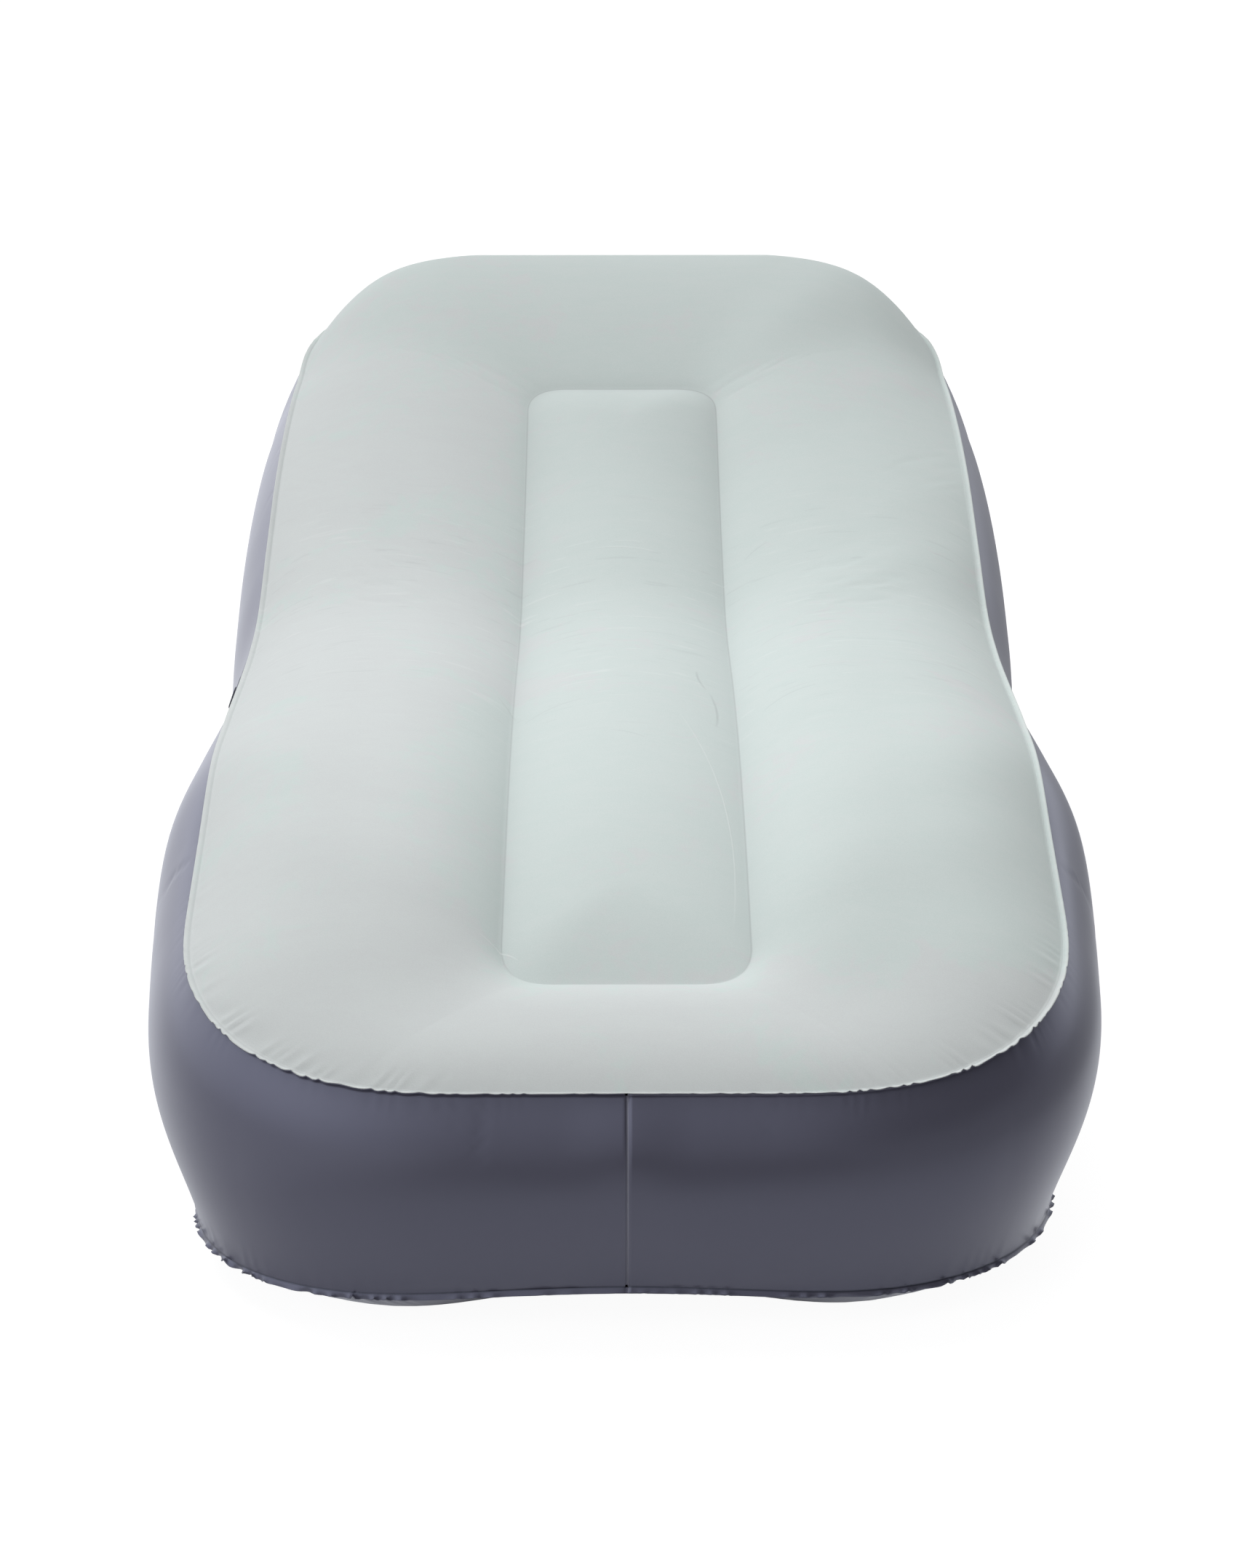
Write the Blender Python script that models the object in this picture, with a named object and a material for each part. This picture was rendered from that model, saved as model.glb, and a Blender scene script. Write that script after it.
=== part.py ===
"""An inflatable lounger: a bladder of welded sheets with a raised back and a sunken middle panel,
and the deflation valve in its left wall. Metres, +Z up, foot end towards -Y, head end towards +Y.
The origin is on the floor, under the middle of the lounger's outline."""

import math

import bpy
import numpy as np
from mathutils import Matrix, Vector

# Plan of the outer seam: a long loop whose corners are rounded by a power curve
SEAM_HALF_WIDTH = 0.410
SEAM_LENGTH = 1.800
FOOT_CORNER = 0.280
HEAD_CORNER = 0.205
CORNER_POWER = 2.6
# The bottom seam's foot corners are squarer, and its foot end arches up between them
BOTTOM_FOOT_CORNER = 0.275
FOOT_ARCH = 0.009

# Height of the top seam over the bottom seam, from the foot end to the head end
FOOT_HEIGHT = 0.196
SEAT_HEIGHT = 0.351
HEAD_HEIGHT = 0.590
# Each pair is a share of the seam's length, and a share of the rise from foot to seat
FOOT_RISE_SHARES = ((0.0, 0.0), (0.068, 0.24), (0.137, 0.43), (0.205, 0.69), (0.275, 0.96), (0.345, 1.0),
                    (0.42, 1.0))
# Each pair is a share of the seam's length, and a share of the rise from seat to head
HEAD_RISE_SHARES = ((0.40, 0.0), (0.44, 0.0), (0.49, 0.012), (0.547, 0.075), (0.615, 0.29), (0.683, 0.5),
                    (0.752, 0.64), (0.82, 0.725), (0.888, 0.775), (0.95, 0.9), (1.0, 1.0))

# Plan of the inner weld, which draws the middle panel down
RECESS_HALF_WIDTH = 0.116
RECESS_FROM_FOOT = 0.150
RECESS_FROM_HEAD = 0.370
RECESS_CORNER = 0.052
# The inner weld's height follows rises of its own, in the same pairs of shares
WELD_FOOT_SHARES = ((0.0, 0.0), (0.045, 0.145), (0.083, 0.289), (0.13, 0.492), (0.17, 0.643), (0.21, 0.771),
                    (0.25, 0.875), (0.29, 0.957), (0.33, 1.017), (0.37, 1.055), (0.41, 1.071), (0.45, 1.071))
WELD_HEAD_SHARES = ((0.43, 0.0), (0.47, 0.0), (0.51, 0.008), (0.547, 0.047), (0.581, 0.125), (0.615, 0.217),
                    (0.649, 0.313), (0.683, 0.416), (0.717, 0.532), (0.752, 0.649), (0.80, 0.786))

# How far the inflated sheets stand out from the lines between their welds
FOOT_CROWN = 0.018
ANKLE_CROWN = 0.045
CALF_CROWN = 0.055
SHIN_CROWN = 0.053
KNEE_CROWN = 0.047
SEAT_CROWN = 0.048
WAIST_CROWN = 0.037
BACK_CROWN = 0.031
NECK_CROWN = 0.054
SHOULDER_CROWN = 0.085
HEAD_CROWN = 0.093
# Each pair is a share of the seam's length and the crown of the rail there
CROWN_SHARES = ((0.045, FOOT_CROWN), (0.11, ANKLE_CROWN), (0.16, CALF_CROWN), (0.21, SHIN_CROWN),
                (0.28, KNEE_CROWN), (0.39, SEAT_CROWN), (0.54, WAIST_CROWN), (0.65, BACK_CROWN),
                (0.79, NECK_CROWN), (0.87, SHOULDER_CROWN), (0.92, HEAD_CROWN))
# The head end is domed: this much further along the length counts the middle line there than the sides
DOME_SHARE = 0.045
DOME_SHARES = (0.60, 0.85)
# Each pair is a share of the seam's length and the share of the rail's width, from the seam, where it crests
CREST_SHARES = ((0.66, 0.5), (0.80, 0.40), (0.92, 0.24))
# Each pair is a share of the seam's length and the power of the flank that falls to the inner weld
FLANK_POWER_SHARES = ((0.62, 2.9), (0.78, 2.1), (0.92, 1.7))
PANEL_CROWN = 0.016
# The middle panel stands out further away from its foot end
PANEL_SWELL = 0.012
PANEL_SWELL_LENGTH = 0.30
BOTTOM_CROWN = 0.037
BOTTOM_END_CROWN = 0.014
FOOT_BULGE = 0.024
KNEE_BULGE = 0.060
WAIST_BULGE = 0.036
BACK_BULGE = 0.050
SHOULDER_BULGE = 0.061
HEAD_BULGE = 0.060
# Each pair is a share of the seam's length and how far the wall stands out there
BULGE_SHARES = ((0.03, FOOT_BULGE), (0.28, KNEE_BULGE), (0.48, WAIST_BULGE), (0.62, BACK_BULGE),
                (0.82, SHOULDER_BULGE), (0.96, HEAD_BULGE))
BULGE_POWER = 2.2
# The wall stands out furthest a little above its middle
BULGE_LIFT = 1.4
RAIL_POWER = 2.5

# Welded sheet
SHEET = 0.0006
WELD_GAP = 0.0003
LIP = 0.006
# How far a lip tips from level: up at the top seam, and down at the bottom seam
TOP_LIP_ANGLE = math.radians(20)
BOTTOM_LIP_ANGLE = math.radians(50)
LAP = 0.012
LAP_JOG = 0.003
LAP_EDGE = 0.0005
FLOOR_CUT = 0.0005

# Vent holes let air pass between the middle and the rails
VENT_RADIUS = 0.025
VENT_HEIGHT = 0.120
VENT_COUNT = 5
VENT_FROM_FOOT = 0.340
VENT_FROM_HEAD = 0.480

# Valve: where it sits, and the flat patch of wall that it is welded to
VALVE_FROM_FOOT = 0.870
VALVE_BELOW_SEAM = 0.050
PATCH_HALF_LENGTH = 0.044
PATCH_HEIGHT = 0.094
# Valve base
FIT = 0.0003
THROAT_RADIUS = 0.0172
THROAT_WALL = 0.0026
BASE_RADIUS = 0.032
BASE_SHEET = 0.0012
COLLAR_RISE = 0.0035
EAR_WIDTH = 0.014
EAR_BEYOND = 0.002
STRAP_STEP = 0.0002
# Dump plug
PLUG_RADIUS = 0.026
PLUG_DISC = 0.0024
PLUG_DEPTH = 0.010
PLUG_WALL = 0.0018
PLUG_REACH = 0.0305
PLUG_STRAP = 0.0018
PLUG_STRAP_WIDTH = 0.010
PLUG_TAB = 0.008
NOZZLE_RADIUS = 0.008
NOZZLE_WALL = 0.0014
NOZZLE_DEPTH = 0.0094
# Inflation cap
CAP_RADIUS = 0.0125
CAP_DISC = 0.0020
CAP_DEPTH = 0.0040
CAP_REACH = 0.0165
CAP_STRAP = 0.0014
CAP_STRAP_WIDTH = 0.006
CAP_TAB = 0.005
# Check flap
FLAP_RADIUS = 0.0092
FLAP_SHEET = 0.0008
FLAP_REACH = 0.0112
FLAP_STRAP = 0.0005
FLAP_STRAP_WIDTH = 0.005
FLAP_EAR_BEYOND = 0.0006
STRAP_INTO_SHARE = 0.9

# How finely the surfaces are divided
END_STEPS = 2
CORNER_STEPS = 5
FOOT_SIDE_STEPS = 7
HEAD_SIDE_STEPS = 8
WALL_STEPS = 5
ROUND_STEPS = 32
KNUCKLE_STEPS = 8
# Places across a rail from the outer seam to the inner weld, then from the weld to the middle line
RAIL_SHARES = (0.0, 0.1, 0.25, 0.44, 0.62, 0.82, 1.0)
BOTTOM_RAIL_SHARES = (0.0, 0.12, 0.28, 0.44, 0.56, 0.78, 1.0)
PANEL_SHARES = (0.4, 1.0)
# The arch of a rail is level where it is within this share of its full height
LEVEL_SHARE = 0.99
SLOPE_STEP = 0.001
# How far a cutter reaches past what it cuts
OVERRUN = 0.010

BOTTOM_SEAM = BOTTOM_CROWN + SHEET + WELD_GAP / 2 - FLOOR_CUT
THROAT_OUTER = THROAT_RADIUS + THROAT_WALL
NOZZLE_OUTER = NOZZLE_RADIUS + NOZZLE_WALL
# Heights over the wall's outer face, along the valve's axis
BASE_TOP = -SHEET - FIT
PLUG_UNDER = COLLAR_RISE + FIT
PLUG_TOP = PLUG_UNDER + PLUG_DISC
NOZZLE_END = PLUG_UNDER - NOZZLE_DEPTH
PLUG_HINGE = PLUG_UNDER - STRAP_STEP + PLUG_STRAP / 2
CAP_UNDER = PLUG_TOP + FIT
CAP_HINGE = CAP_UNDER + STRAP_STEP + CAP_STRAP / 2
FLAP_HINGE = NOZZLE_END - FIT - STRAP_STEP - FLAP_STRAP / 2


def smooth_step(share):
    """Rises from 0 to 1 with level ends."""
    share = np.clip(share, 0, 1)
    return share * share * (3 - 2 * share)


def smooth_curve(pairs, places):
    """The cubic curve through the pairs, whose slope at each is the mean of the slopes beside it."""
    knots, values = np.array(pairs, float).T
    secants = np.diff(values) / np.diff(knots)
    slopes = np.concatenate((secants[:1], (secants[:-1] + secants[1:]) / 2, secants[-1:]))
    places = np.clip(places, knots[0], knots[-1])
    left = np.clip(np.searchsorted(knots, places, side="right") - 1, 0, len(knots) - 2)
    width = knots[left + 1] - knots[left]
    t = (places - knots[left]) / width
    rise = values[left] * (1 + 2 * t) * (1 - t) ** 2 + values[left + 1] * t * t * (3 - 2 * t)
    return rise + width * (slopes[left] * t * (1 - t) ** 2 - slopes[left + 1] * t * t * (1 - t))


def level_at_valve(y):
    """Distances from the foot seam, all alike across the valve's patch, so the wall and its seam are level there."""
    return np.where(np.abs(y - VALVE_FROM_FOOT) < PATCH_HALF_LENGTH + WELD_GAP, VALVE_FROM_FOOT, y)


def risen(foot, head):
    """Height over the bottom seam at shares of the rise from foot to seat and of the rise from seat to head."""
    return FOOT_HEIGHT + foot * (SEAT_HEIGHT - FOOT_HEIGHT) + head * (HEAD_HEIGHT - SEAT_HEIGHT)


def seam_height(y):
    """Height of the top seam over the bottom seam at distance y from the foot seam."""
    along = level_at_valve(y) / SEAM_LENGTH
    return risen(smooth_curve(FOOT_RISE_SHARES, along), smooth_curve(HEAD_RISE_SHARES, along))


def weld_height(y):
    """Height of the inner weld over the bottom seam at distance y from the foot seam."""
    along = y / SEAM_LENGTH
    return risen(smooth_curve(WELD_FOOT_SHARES, along), smooth_curve(WELD_HEAD_SHARES, along))


def half_loop(half_width, foot, head, foot_corner, head_corner, side):
    """Columns x, y, normal x, normal y along the right half of a loop, from its foot centre to its head centre,
    with stations at the distances in side along its straight side. A corner is the power curve
    |u|^p + |v|^p = 1, walked by angle."""
    angle = np.linspace(0, math.pi / 2, CORNER_STEPS + 1)
    bend = 2 / CORNER_POWER
    across, along = np.sin(angle) ** bend, np.cos(angle) ** bend
    normal = np.stack((np.sin(angle) ** (2 - bend), np.cos(angle) ** (2 - bend)), 1)
    normal /= np.linalg.norm(normal, axis=1)[:, None]
    foot_end = np.linspace(0, half_width - foot_corner, END_STEPS + 1)[:-1]
    head_end = np.linspace(half_width - head_corner, 0, END_STEPS + 1)[1:]
    x = np.concatenate((foot_end, half_width - foot_corner * (1 - across), np.full(len(side), half_width),
                        (half_width - head_corner * (1 - across))[::-1], head_end))
    y = np.concatenate((np.full(END_STEPS, foot), foot + foot_corner * (1 - along), side,
                        (head - head_corner * (1 - along))[::-1], np.full(END_STEPS, head)))
    foot_normals = np.tile((0.0, -1.0), (END_STEPS, 1))
    side_normals = np.tile((1.0, 0.0), (len(side), 1))
    normals = np.concatenate((foot_normals, normal * (1, -1), side_normals, normal[::-1], -foot_normals))
    return np.column_stack((x, y, normals))


def side_stations():
    """Distances from the foot seam of the stations along the straight sides, with none across the valve's patch."""
    to_valve = np.linspace(FOOT_CORNER, VALVE_FROM_FOOT - PATCH_HALF_LENGTH, FOOT_SIDE_STEPS + 1)
    from_valve = np.linspace(VALVE_FROM_FOOT + PATCH_HALF_LENGTH, SEAM_LENGTH - HEAD_CORNER, HEAD_SIDE_STEPS + 1)
    return np.concatenate((to_valve[1:], from_valve[:-1]))


def seam_loop(foot_corner):
    return half_loop(SEAM_HALF_WIDTH, 0, SEAM_LENGTH, foot_corner, HEAD_CORNER, side_stations())


def recess_loop():
    foot, head = RECESS_FROM_FOOT, SEAM_LENGTH - RECESS_FROM_HEAD
    side = np.interp(side_stations(), (FOOT_CORNER, SEAM_LENGTH - HEAD_CORNER),
                     (foot + RECESS_CORNER, head - RECESS_CORNER))
    return half_loop(RECESS_HALF_WIDTH, foot, head, RECESS_CORNER, RECESS_CORNER, side)


def whole_loop(half):
    """The right half, then the left half back to the foot, so the loop runs anticlockwise seen from above."""
    left = half[-2:0:-1] * (-1, 1, -1, 1)
    return np.concatenate((half, left))


def in_frame(points):
    """Moves points from the foot seam's frame to the part's, whose origin is on the floor mid-length."""
    foot, head = (max(wall_bulge(y, share) for share in wall_rows()) for y in (0, SEAM_LENGTH))
    return points + np.array((0, (foot - head - SEAM_LENGTH) / 2, BOTTOM_SEAM))


def wall_rows():
    """Shares of the wall's height: even steps, then the valve's flat patch up to the seam."""
    patch = 1 - PATCH_HEIGHT / float(seam_height(np.array(VALVE_FROM_FOOT)))
    return np.append(np.linspace(0, patch, WALL_STEPS + 1), 1.0)


def wall_bulge(y, share):
    """How far the wall at distance y from the foot seam stands out at a share of its height."""
    return smooth_curve(BULGE_SHARES, y / SEAM_LENGTH) * (1 - abs(2 * share ** BULGE_LIFT - 1) ** BULGE_POWER)


def bottom_arch(loop):
    """How far the bottom seam lifts: in the middle of the foot end alone."""
    middle = 1 - smooth_step(np.abs(loop[:, 0]) / (SEAM_HALF_WIDTH - BOTTOM_FOOT_CORNER / 2))
    return FOOT_ARCH * middle * (loop[:, 1] < RECESS_FROM_FOOT)


def wall_points(turn, share):
    """Inner face of half the wall at a share of its height: between the seams it bulges along the loop's normals."""
    low, high = seam_loop(BOTTOM_FOOT_CORNER) * (turn, 1, turn, 1), seam_loop(FOOT_CORNER) * (turn, 1, turn, 1)
    low[[0, -1], 0] = high[[0, -1], 0] = turn * WELD_GAP / 2
    loop = low + share * (high - low)
    y = level_at_valve(high[:, 1])
    plan = loop[:, :2] + high[:, 2:] * wall_bulge(y, share)[:, None]
    height = share * seam_height(y) + (1 - share) * bottom_arch(low)
    return np.column_stack((plan, height + (0.5 - share) * WELD_GAP))


def rail_arch(share, crest, flank):
    """The height of a rail's arch at a share of its width: one less a power of the distance from its crest, and
    level along its top. flank is the power on the inner weld's side."""
    outside = 1 - np.clip(1 - share / crest, 0, 1) ** np.maximum(flank, RAIL_POWER)
    inside = 1 - np.clip((share - crest) / (1 - crest), 0, 1) ** flank
    return np.minimum(np.minimum(outside, inside) / LEVEL_SHARE, 1)


def lip_end(loop, seam, side):
    """The lip's outer edge, which stands out past the seam and tips up at the top seam, where side is 1, and
    down at the bottom seam, where it is -1."""
    angle = TOP_LIP_ANGLE if side > 0 else -BOTTOM_LIP_ANGLE
    out = loop[:, 2:] * LIP * math.cos(angle)
    return seam + np.column_stack((out, np.full(len(loop), LIP * math.sin(angle))))


def material(name, color, roughness):
    made = bpy.data.materials.new(name)
    made.use_nodes = True
    shader = made.node_tree.nodes["Principled BSDF"]
    shader.inputs["Base Color"].default_value = (*color, 1)
    shader.inputs["Roughness"].default_value = roughness
    shader.inputs["Metallic"].default_value = 0
    return made


def mesh_object(name, points, faces, finish):
    mesh = bpy.data.meshes.new(name)
    mesh.from_pydata(np.asarray(points, float).tolist(), [], faces)
    mesh.materials.append(finish)
    mesh.shade_smooth()
    mesh.set_sharp_from_angle(angle=math.radians(40))
    made = bpy.data.objects.new(name, mesh)
    bpy.context.scene.collection.objects.link(made)
    return made


def sheet_object(name, points, faces, flip, finish):
    """A sheet with its thickness on its outer side. Each quad is split along its diagonal that runs further
    along the lounger, so that two lips welded face to face are split alike."""
    y = points[:, 1]
    split = []
    for a, b, c, d in faces:
        if abs(y[a] - y[c]) < abs(y[b] - y[d]):
            a, b, c, d = b, c, d, a
        split += [(a, b, c), (a, c, d)]
    if flip:
        split = [face[::-1] for face in split]
    sheet = mesh_object(name, in_frame(points), split, finish)
    weld = sheet.modifiers.new("middle line", "WELD")
    weld.merge_threshold = WELD_GAP / 10
    solid = sheet.modifiers.new("thickness", "SOLIDIFY")
    solid.thickness = SHEET
    solid.offset = 1
    solid.use_even_offset = True
    solid.use_quality_normals = True
    return sheet


def cut_with(target, cutter, operation="DIFFERENCE"):
    cutter.hide_render = True
    cutter.display_type = "WIRE"
    boolean = target.modifiers.new(cutter.name, "BOOLEAN")
    boolean.object = cutter
    boolean.operation = operation
    boolean.solver = "EXACT"


def ring_faces(count, rings):
    """Quads between rings that each hold count points, closed round."""
    return [(r * count + i, r * count + (i + 1) % count, (r + 1) * count + (i + 1) % count, (r + 1) * count + i)
            for r in range(rings - 1) for i in range(count)]


def grid_faces(columns, rows):
    """Quads of a grid stored column by column."""
    return [(c * rows + r, (c + 1) * rows + r, (c + 1) * rows + r + 1, c * rows + r + 1)
            for c in range(columns - 1) for r in range(rows - 1)]


def deck(name, rail_shares, side, rail_form, panel_crown, finish):
    """A top or bottom sheet: rings from the lip over the seam and the rail to the inner weld, then in to the
    middle line. side is 1 for the top, whose rings follow the welds' heights, and -1 for the bottom. rail_form
    gives the rail's crown, its crest's share and its flank's power, and panel_crown the panel's."""
    seam = whole_loop(seam_loop(FOOT_CORNER if side > 0 else BOTTOM_FOOT_CORNER))
    recess = whole_loop(recess_loop())
    height, inner_height = (seam_height, weld_height) if side > 0 else (np.zeros_like, np.zeros_like)
    arch = bottom_arch(seam) if side < 0 else 0
    outer = np.column_stack((seam[:, :2], height(seam[:, 1]) + arch + side * WELD_GAP / 2))
    inner = np.column_stack((recess[:, :2], inner_height(recess[:, 1]) + side * WELD_GAP / 2))
    crown, crest, flank = rail_form(seam, recess)
    run = inner - outer
    up = np.column_stack((np.zeros(len(run)), -slope(height, (seam[:, 1] + recess[:, 1]) / 2), np.ones(len(run))))
    up /= np.linalg.norm(up, axis=1)[:, None]
    rings = [lip_end(seam, outer, side)]
    for share in rail_shares:
        rings.append(outer + share * run + up * (side * rail_arch(share, crest, flank) * crown)[:, None])
    head = SEAM_LENGTH - RECESS_FROM_HEAD
    spine_y = np.clip(recess[:, 1], RECESS_FROM_FOOT + RECESS_HALF_WIDTH, head - RECESS_HALF_WIDTH)
    spine = np.column_stack((np.zeros(len(spine_y)), spine_y))
    for share in PANEL_SHARES:
        plan = recess[:, :2] + share * (spine - recess[:, :2])
        pillow = side * (WELD_GAP / 2 + panel_crown(plan[:, 1]) * share * (2 - share))
        rings.append(np.column_stack((plan, inner_height(plan[:, 1]) + pillow)))
    return sheet_object(name, np.concatenate(rings), ring_faces(len(seam), len(rings)), side < 0, finish)


def slope(height, y):
    """The rise of a height line per metre, by a central difference."""
    return (height(y + SLOPE_STEP) - height(y - SLOPE_STEP)) / (2 * SLOPE_STEP)


def top_form(seam, recess):
    """A rail's crown, crest and flank, read at the mean of its two welds, which near the middle line of the head
    end counts as further along."""
    middle = (seam[:, :2] + recess[:, :2]) / 2
    along = middle[:, 1] / SEAM_LENGTH
    start, end = DOME_SHARES
    inward = 1 - (2 * middle[:, 0] / SEAM_HALF_WIDTH) ** 2
    along = along + DOME_SHARE * smooth_step((along - start) / (end - start)) * inward
    return (smooth_curve(pairs, along) for pairs in (CROWN_SHARES, CREST_SHARES, FLANK_POWER_SHARES))


def bottom_form(seam, recess):
    """Full along the sides and corners, and low across the two ends, which arch clear of the floor. The crest is
    in the middle of the rail, whose two flanks are alike."""
    rise = smooth_step(np.abs(seam[:, 0]) / (SEAM_HALF_WIDTH - BOTTOM_FOOT_CORNER / 2))
    return BOTTOM_END_CROWN + (BOTTOM_CROWN - BOTTOM_END_CROWN) * rise, 1 / 2, RAIL_POWER


def top_pillow(y):
    """How far the middle panel stands out at distance y from the foot seam."""
    near_foot = np.clip(1 - (y - RECESS_FROM_FOOT) / PANEL_SWELL_LENGTH, 0, 1)
    return PANEL_CROWN + PANEL_SWELL * (1 - near_foot ** 2)


def bottom_pillow(y):
    """The underside's middle stands out alike all along."""
    return np.full(len(y), PANEL_CROWN)


def wall(name, turn, tongue, finish):
    """Half of the outer wall, with a lip along both seams. turn is 1 on the right and -1 on the left. The half
    with the tongue passes behind the other half at both ends, and is welded to it there."""
    low, high = seam_loop(BOTTOM_FOOT_CORNER) * (turn, 1, turn, 1), seam_loop(FOOT_CORNER) * (turn, 1, turn, 1)
    rows = [wall_points(turn, share) for share in wall_rows()]
    grid = np.stack([lip_end(low, rows[0], -1)] + rows + [lip_end(high, rows[-1], 1)], 1)
    points, faces = grid.reshape(-1, 3), grid_faces(*grid.shape[:2])
    if tongue:
        points, faces = with_tongue(grid, high, turn)
    return sheet_object(name, points, faces, turn < 0, finish)


def with_tongue(grid, half, turn):
    """Adds at both ends of a wall a strip that steps inward by the sheet's thickness and runs on past the middle,
    between the seams. Gives the points, and the faces on them."""
    rows = grid.shape[1]
    ends = []
    for end in (0, -1):
        strip = np.repeat(grid[end][None], 3, 0)
        strip[0, :, 0] = turn * LAP_JOG
        strip[1, 2:-2, 0] = turn * LAP_EDGE
        strip[2, :, 0] = -turn * LAP
        strip[1:, 2:-2, 1] -= half[end, 3] * (SHEET + 2 * WELD_GAP)
        ends.append(strip)
    joined = np.concatenate((ends[0][::-1], grid[1:-1], ends[1]))
    last = len(joined) - 2
    faces = [face for face in grid_faces(len(joined), rows)
             if 0 < face[0] // rows < last or 2 <= face[0] % rows < rows - 3]
    used = sorted({corner for face in faces for corner in face})
    place = {old: new for new, old in enumerate(used)}
    return joined.reshape(-1, 3)[used], [tuple(place[corner] for corner in face) for face in faces]


def baffle(name, turn, finish):
    """Half of the upright strip that ties the top sheet to the bottom sheet along the inner weld."""
    half = recess_loop() * (turn, 1, turn, 1)
    half[[0, -1], 0] = turn * WELD_GAP / 2
    ground = np.column_stack((half[:, :2], np.full(len(half), WELD_GAP)))
    top = np.column_stack((half[:, :2], weld_height(half[:, 1]) - WELD_GAP))
    middle = (ground + top) / 2
    grid = np.stack((ground, middle, top), 1)
    strip = sheet_object(name, grid.reshape(-1, 3), grid_faces(*grid.shape[:2]), turn < 0, finish)
    for number, y in enumerate(np.linspace(VENT_FROM_FOOT, SEAM_LENGTH - VENT_FROM_HEAD, VENT_COUNT)):
        centre = in_frame(np.array((turn * RECESS_HALF_WIDTH, y, VENT_HEIGHT)))
        vent = rod(f"{name}_vent_{number + 1}", VENT_RADIUS, OVERRUN)
        vent.location = centre
        vent.rotation_euler = (0, math.pi / 2, 0)
        cut_with(strip, vent)
    return strip


def helper(name, points, faces):
    """A closed shape that only cuts another or joins it."""
    mesh = bpy.data.meshes.new(name)
    mesh.from_pydata(points, [], faces)
    made = bpy.data.objects.new(name, mesh)
    bpy.context.scene.collection.objects.link(made)
    return made


def rod(name, radius, half_length):
    """A round helper about the Z axis."""
    angle = np.arange(ROUND_STEPS) * 2 * math.pi / ROUND_STEPS
    points = [(radius * math.cos(a), radius * math.sin(a), z) for z in (-half_length, half_length) for a in angle]
    ends = [tuple(range(ROUND_STEPS))[::-1], tuple(range(ROUND_STEPS, 2 * ROUND_STEPS))]
    return helper(name, points, ring_faces(ROUND_STEPS, 2) + ends)


def block(name, low, high):
    """A box helper between two corners."""
    corners = [(x, y, z) for x in (low[0], high[0]) for y in (low[1], high[1]) for z in (low[2], high[2])]
    faces = [(0, 1, 3, 2), (4, 6, 7, 5), (0, 4, 5, 1), (2, 3, 7, 6), (0, 2, 6, 4), (1, 5, 7, 3)]
    return helper(name, corners, faces)


def strap(name, width, thickness, length):
    """A flat helper along +Y whose end is rounded about the X axis, so it turns in place over a flat seat."""
    angle = np.linspace(math.pi / 2, 3 * math.pi / 2, KNUCKLE_STEPS + 1)
    outline = [(thickness / 2 * math.cos(a), thickness / 2 * math.sin(a)) for a in angle]
    outline += [(length, -thickness / 2), (length, thickness / 2)]
    count = len(outline)
    points = [(side * width / 2, y, z) for side in (1, -1) for y, z in outline]
    faces = [(i, (i + 1) % count, count + (i + 1) % count, count + i) for i in range(count)]
    faces += [tuple(range(count))[::-1], tuple(range(count, 2 * count))]
    return helper(name, points, faces)


def turned(name, outline, finish, steps=ROUND_STEPS):
    """A solid turned about Z from an outline of (radius, height) pairs. An outline that begins and ends on the
    axis is closed there, and any other is closed back to its first point."""
    on_axis = outline[0][0] == 0
    angle = np.arange(steps) * 2 * math.pi / steps
    body = outline[1:-1] if on_axis else list(outline) + [outline[0]]
    rings = [np.column_stack((r * np.cos(angle), r * np.sin(angle), np.full(steps, z))) for r, z in body]
    if on_axis:
        points = np.concatenate(rings + [[(0, 0, outline[0][1]), (0, 0, outline[-1][1])]])
        low, high = len(points) - 2, len(points) - 1
        last = (len(rings) - 1) * steps
        faces = ring_faces(steps, len(rings))
        faces += [(low, (i + 1) % steps, i) for i in range(steps)]
        faces += [(high, last + i, last + (i + 1) % steps) for i in range(steps)]
    else:
        points = np.concatenate(rings[:-1])
        count = len(points)
        faces = [tuple(corner % count for corner in face) for face in ring_faces(steps, len(rings))]
    return mesh_object(name, points, faces, finish)


def swing_radius(reach, hole, depth, seat):
    """The widest that a plug may be at a depth below its hinge if it is to swing out of its hole, whose mouth
    lies at depth seat below that hinge."""
    return math.sqrt((reach + hole - FIT) ** 2 - depth ** 2 + seat ** 2) - reach


def hinged(made, reach, radius, thickness, width, tab):
    """Sets a turned lid at its reach from a hinge at the object's origin, and joins its strap and pull tab to it.
    The lid lies towards +Y, and opens towards +Z when it turns about +X."""
    made.data.transform(Matrix.Translation((0, reach, 0)))
    arms = [strap(made.name + "_strap", width, thickness, reach - radius * STRAP_INTO_SHARE)]
    if tab:
        start, end = reach + radius * STRAP_INTO_SHARE, reach + radius + tab
        arms.append(block(made.name + "_tab", (-width / 2, start, -thickness / 2), (width / 2, end, thickness / 2)))
    for arm in arms:
        arm.parent = made
        cut_with(made, arm, "UNION")


def valve_frame():
    """The valve's axes on the wall's flat patch: along the wall towards the foot, up the wall, and out of it."""
    rows = [in_frame(wall_points(-1, share)) for share in (1.0, wall_rows()[-2])]
    first = END_STEPS + CORNER_STEPS + FOOT_SIDE_STEPS
    seam, patch = (Vector(row[first:first + 2].mean(0)) for row in rows)
    up = (seam - patch).normalized()
    foot = Vector((0, -1, 0))
    out = foot.cross(up)
    centre = seam - up * VALVE_BELOW_SEAM + out * SHEET
    return Matrix.Translation(centre) @ Matrix((foot, up, out)).transposed().to_4x4()


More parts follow.
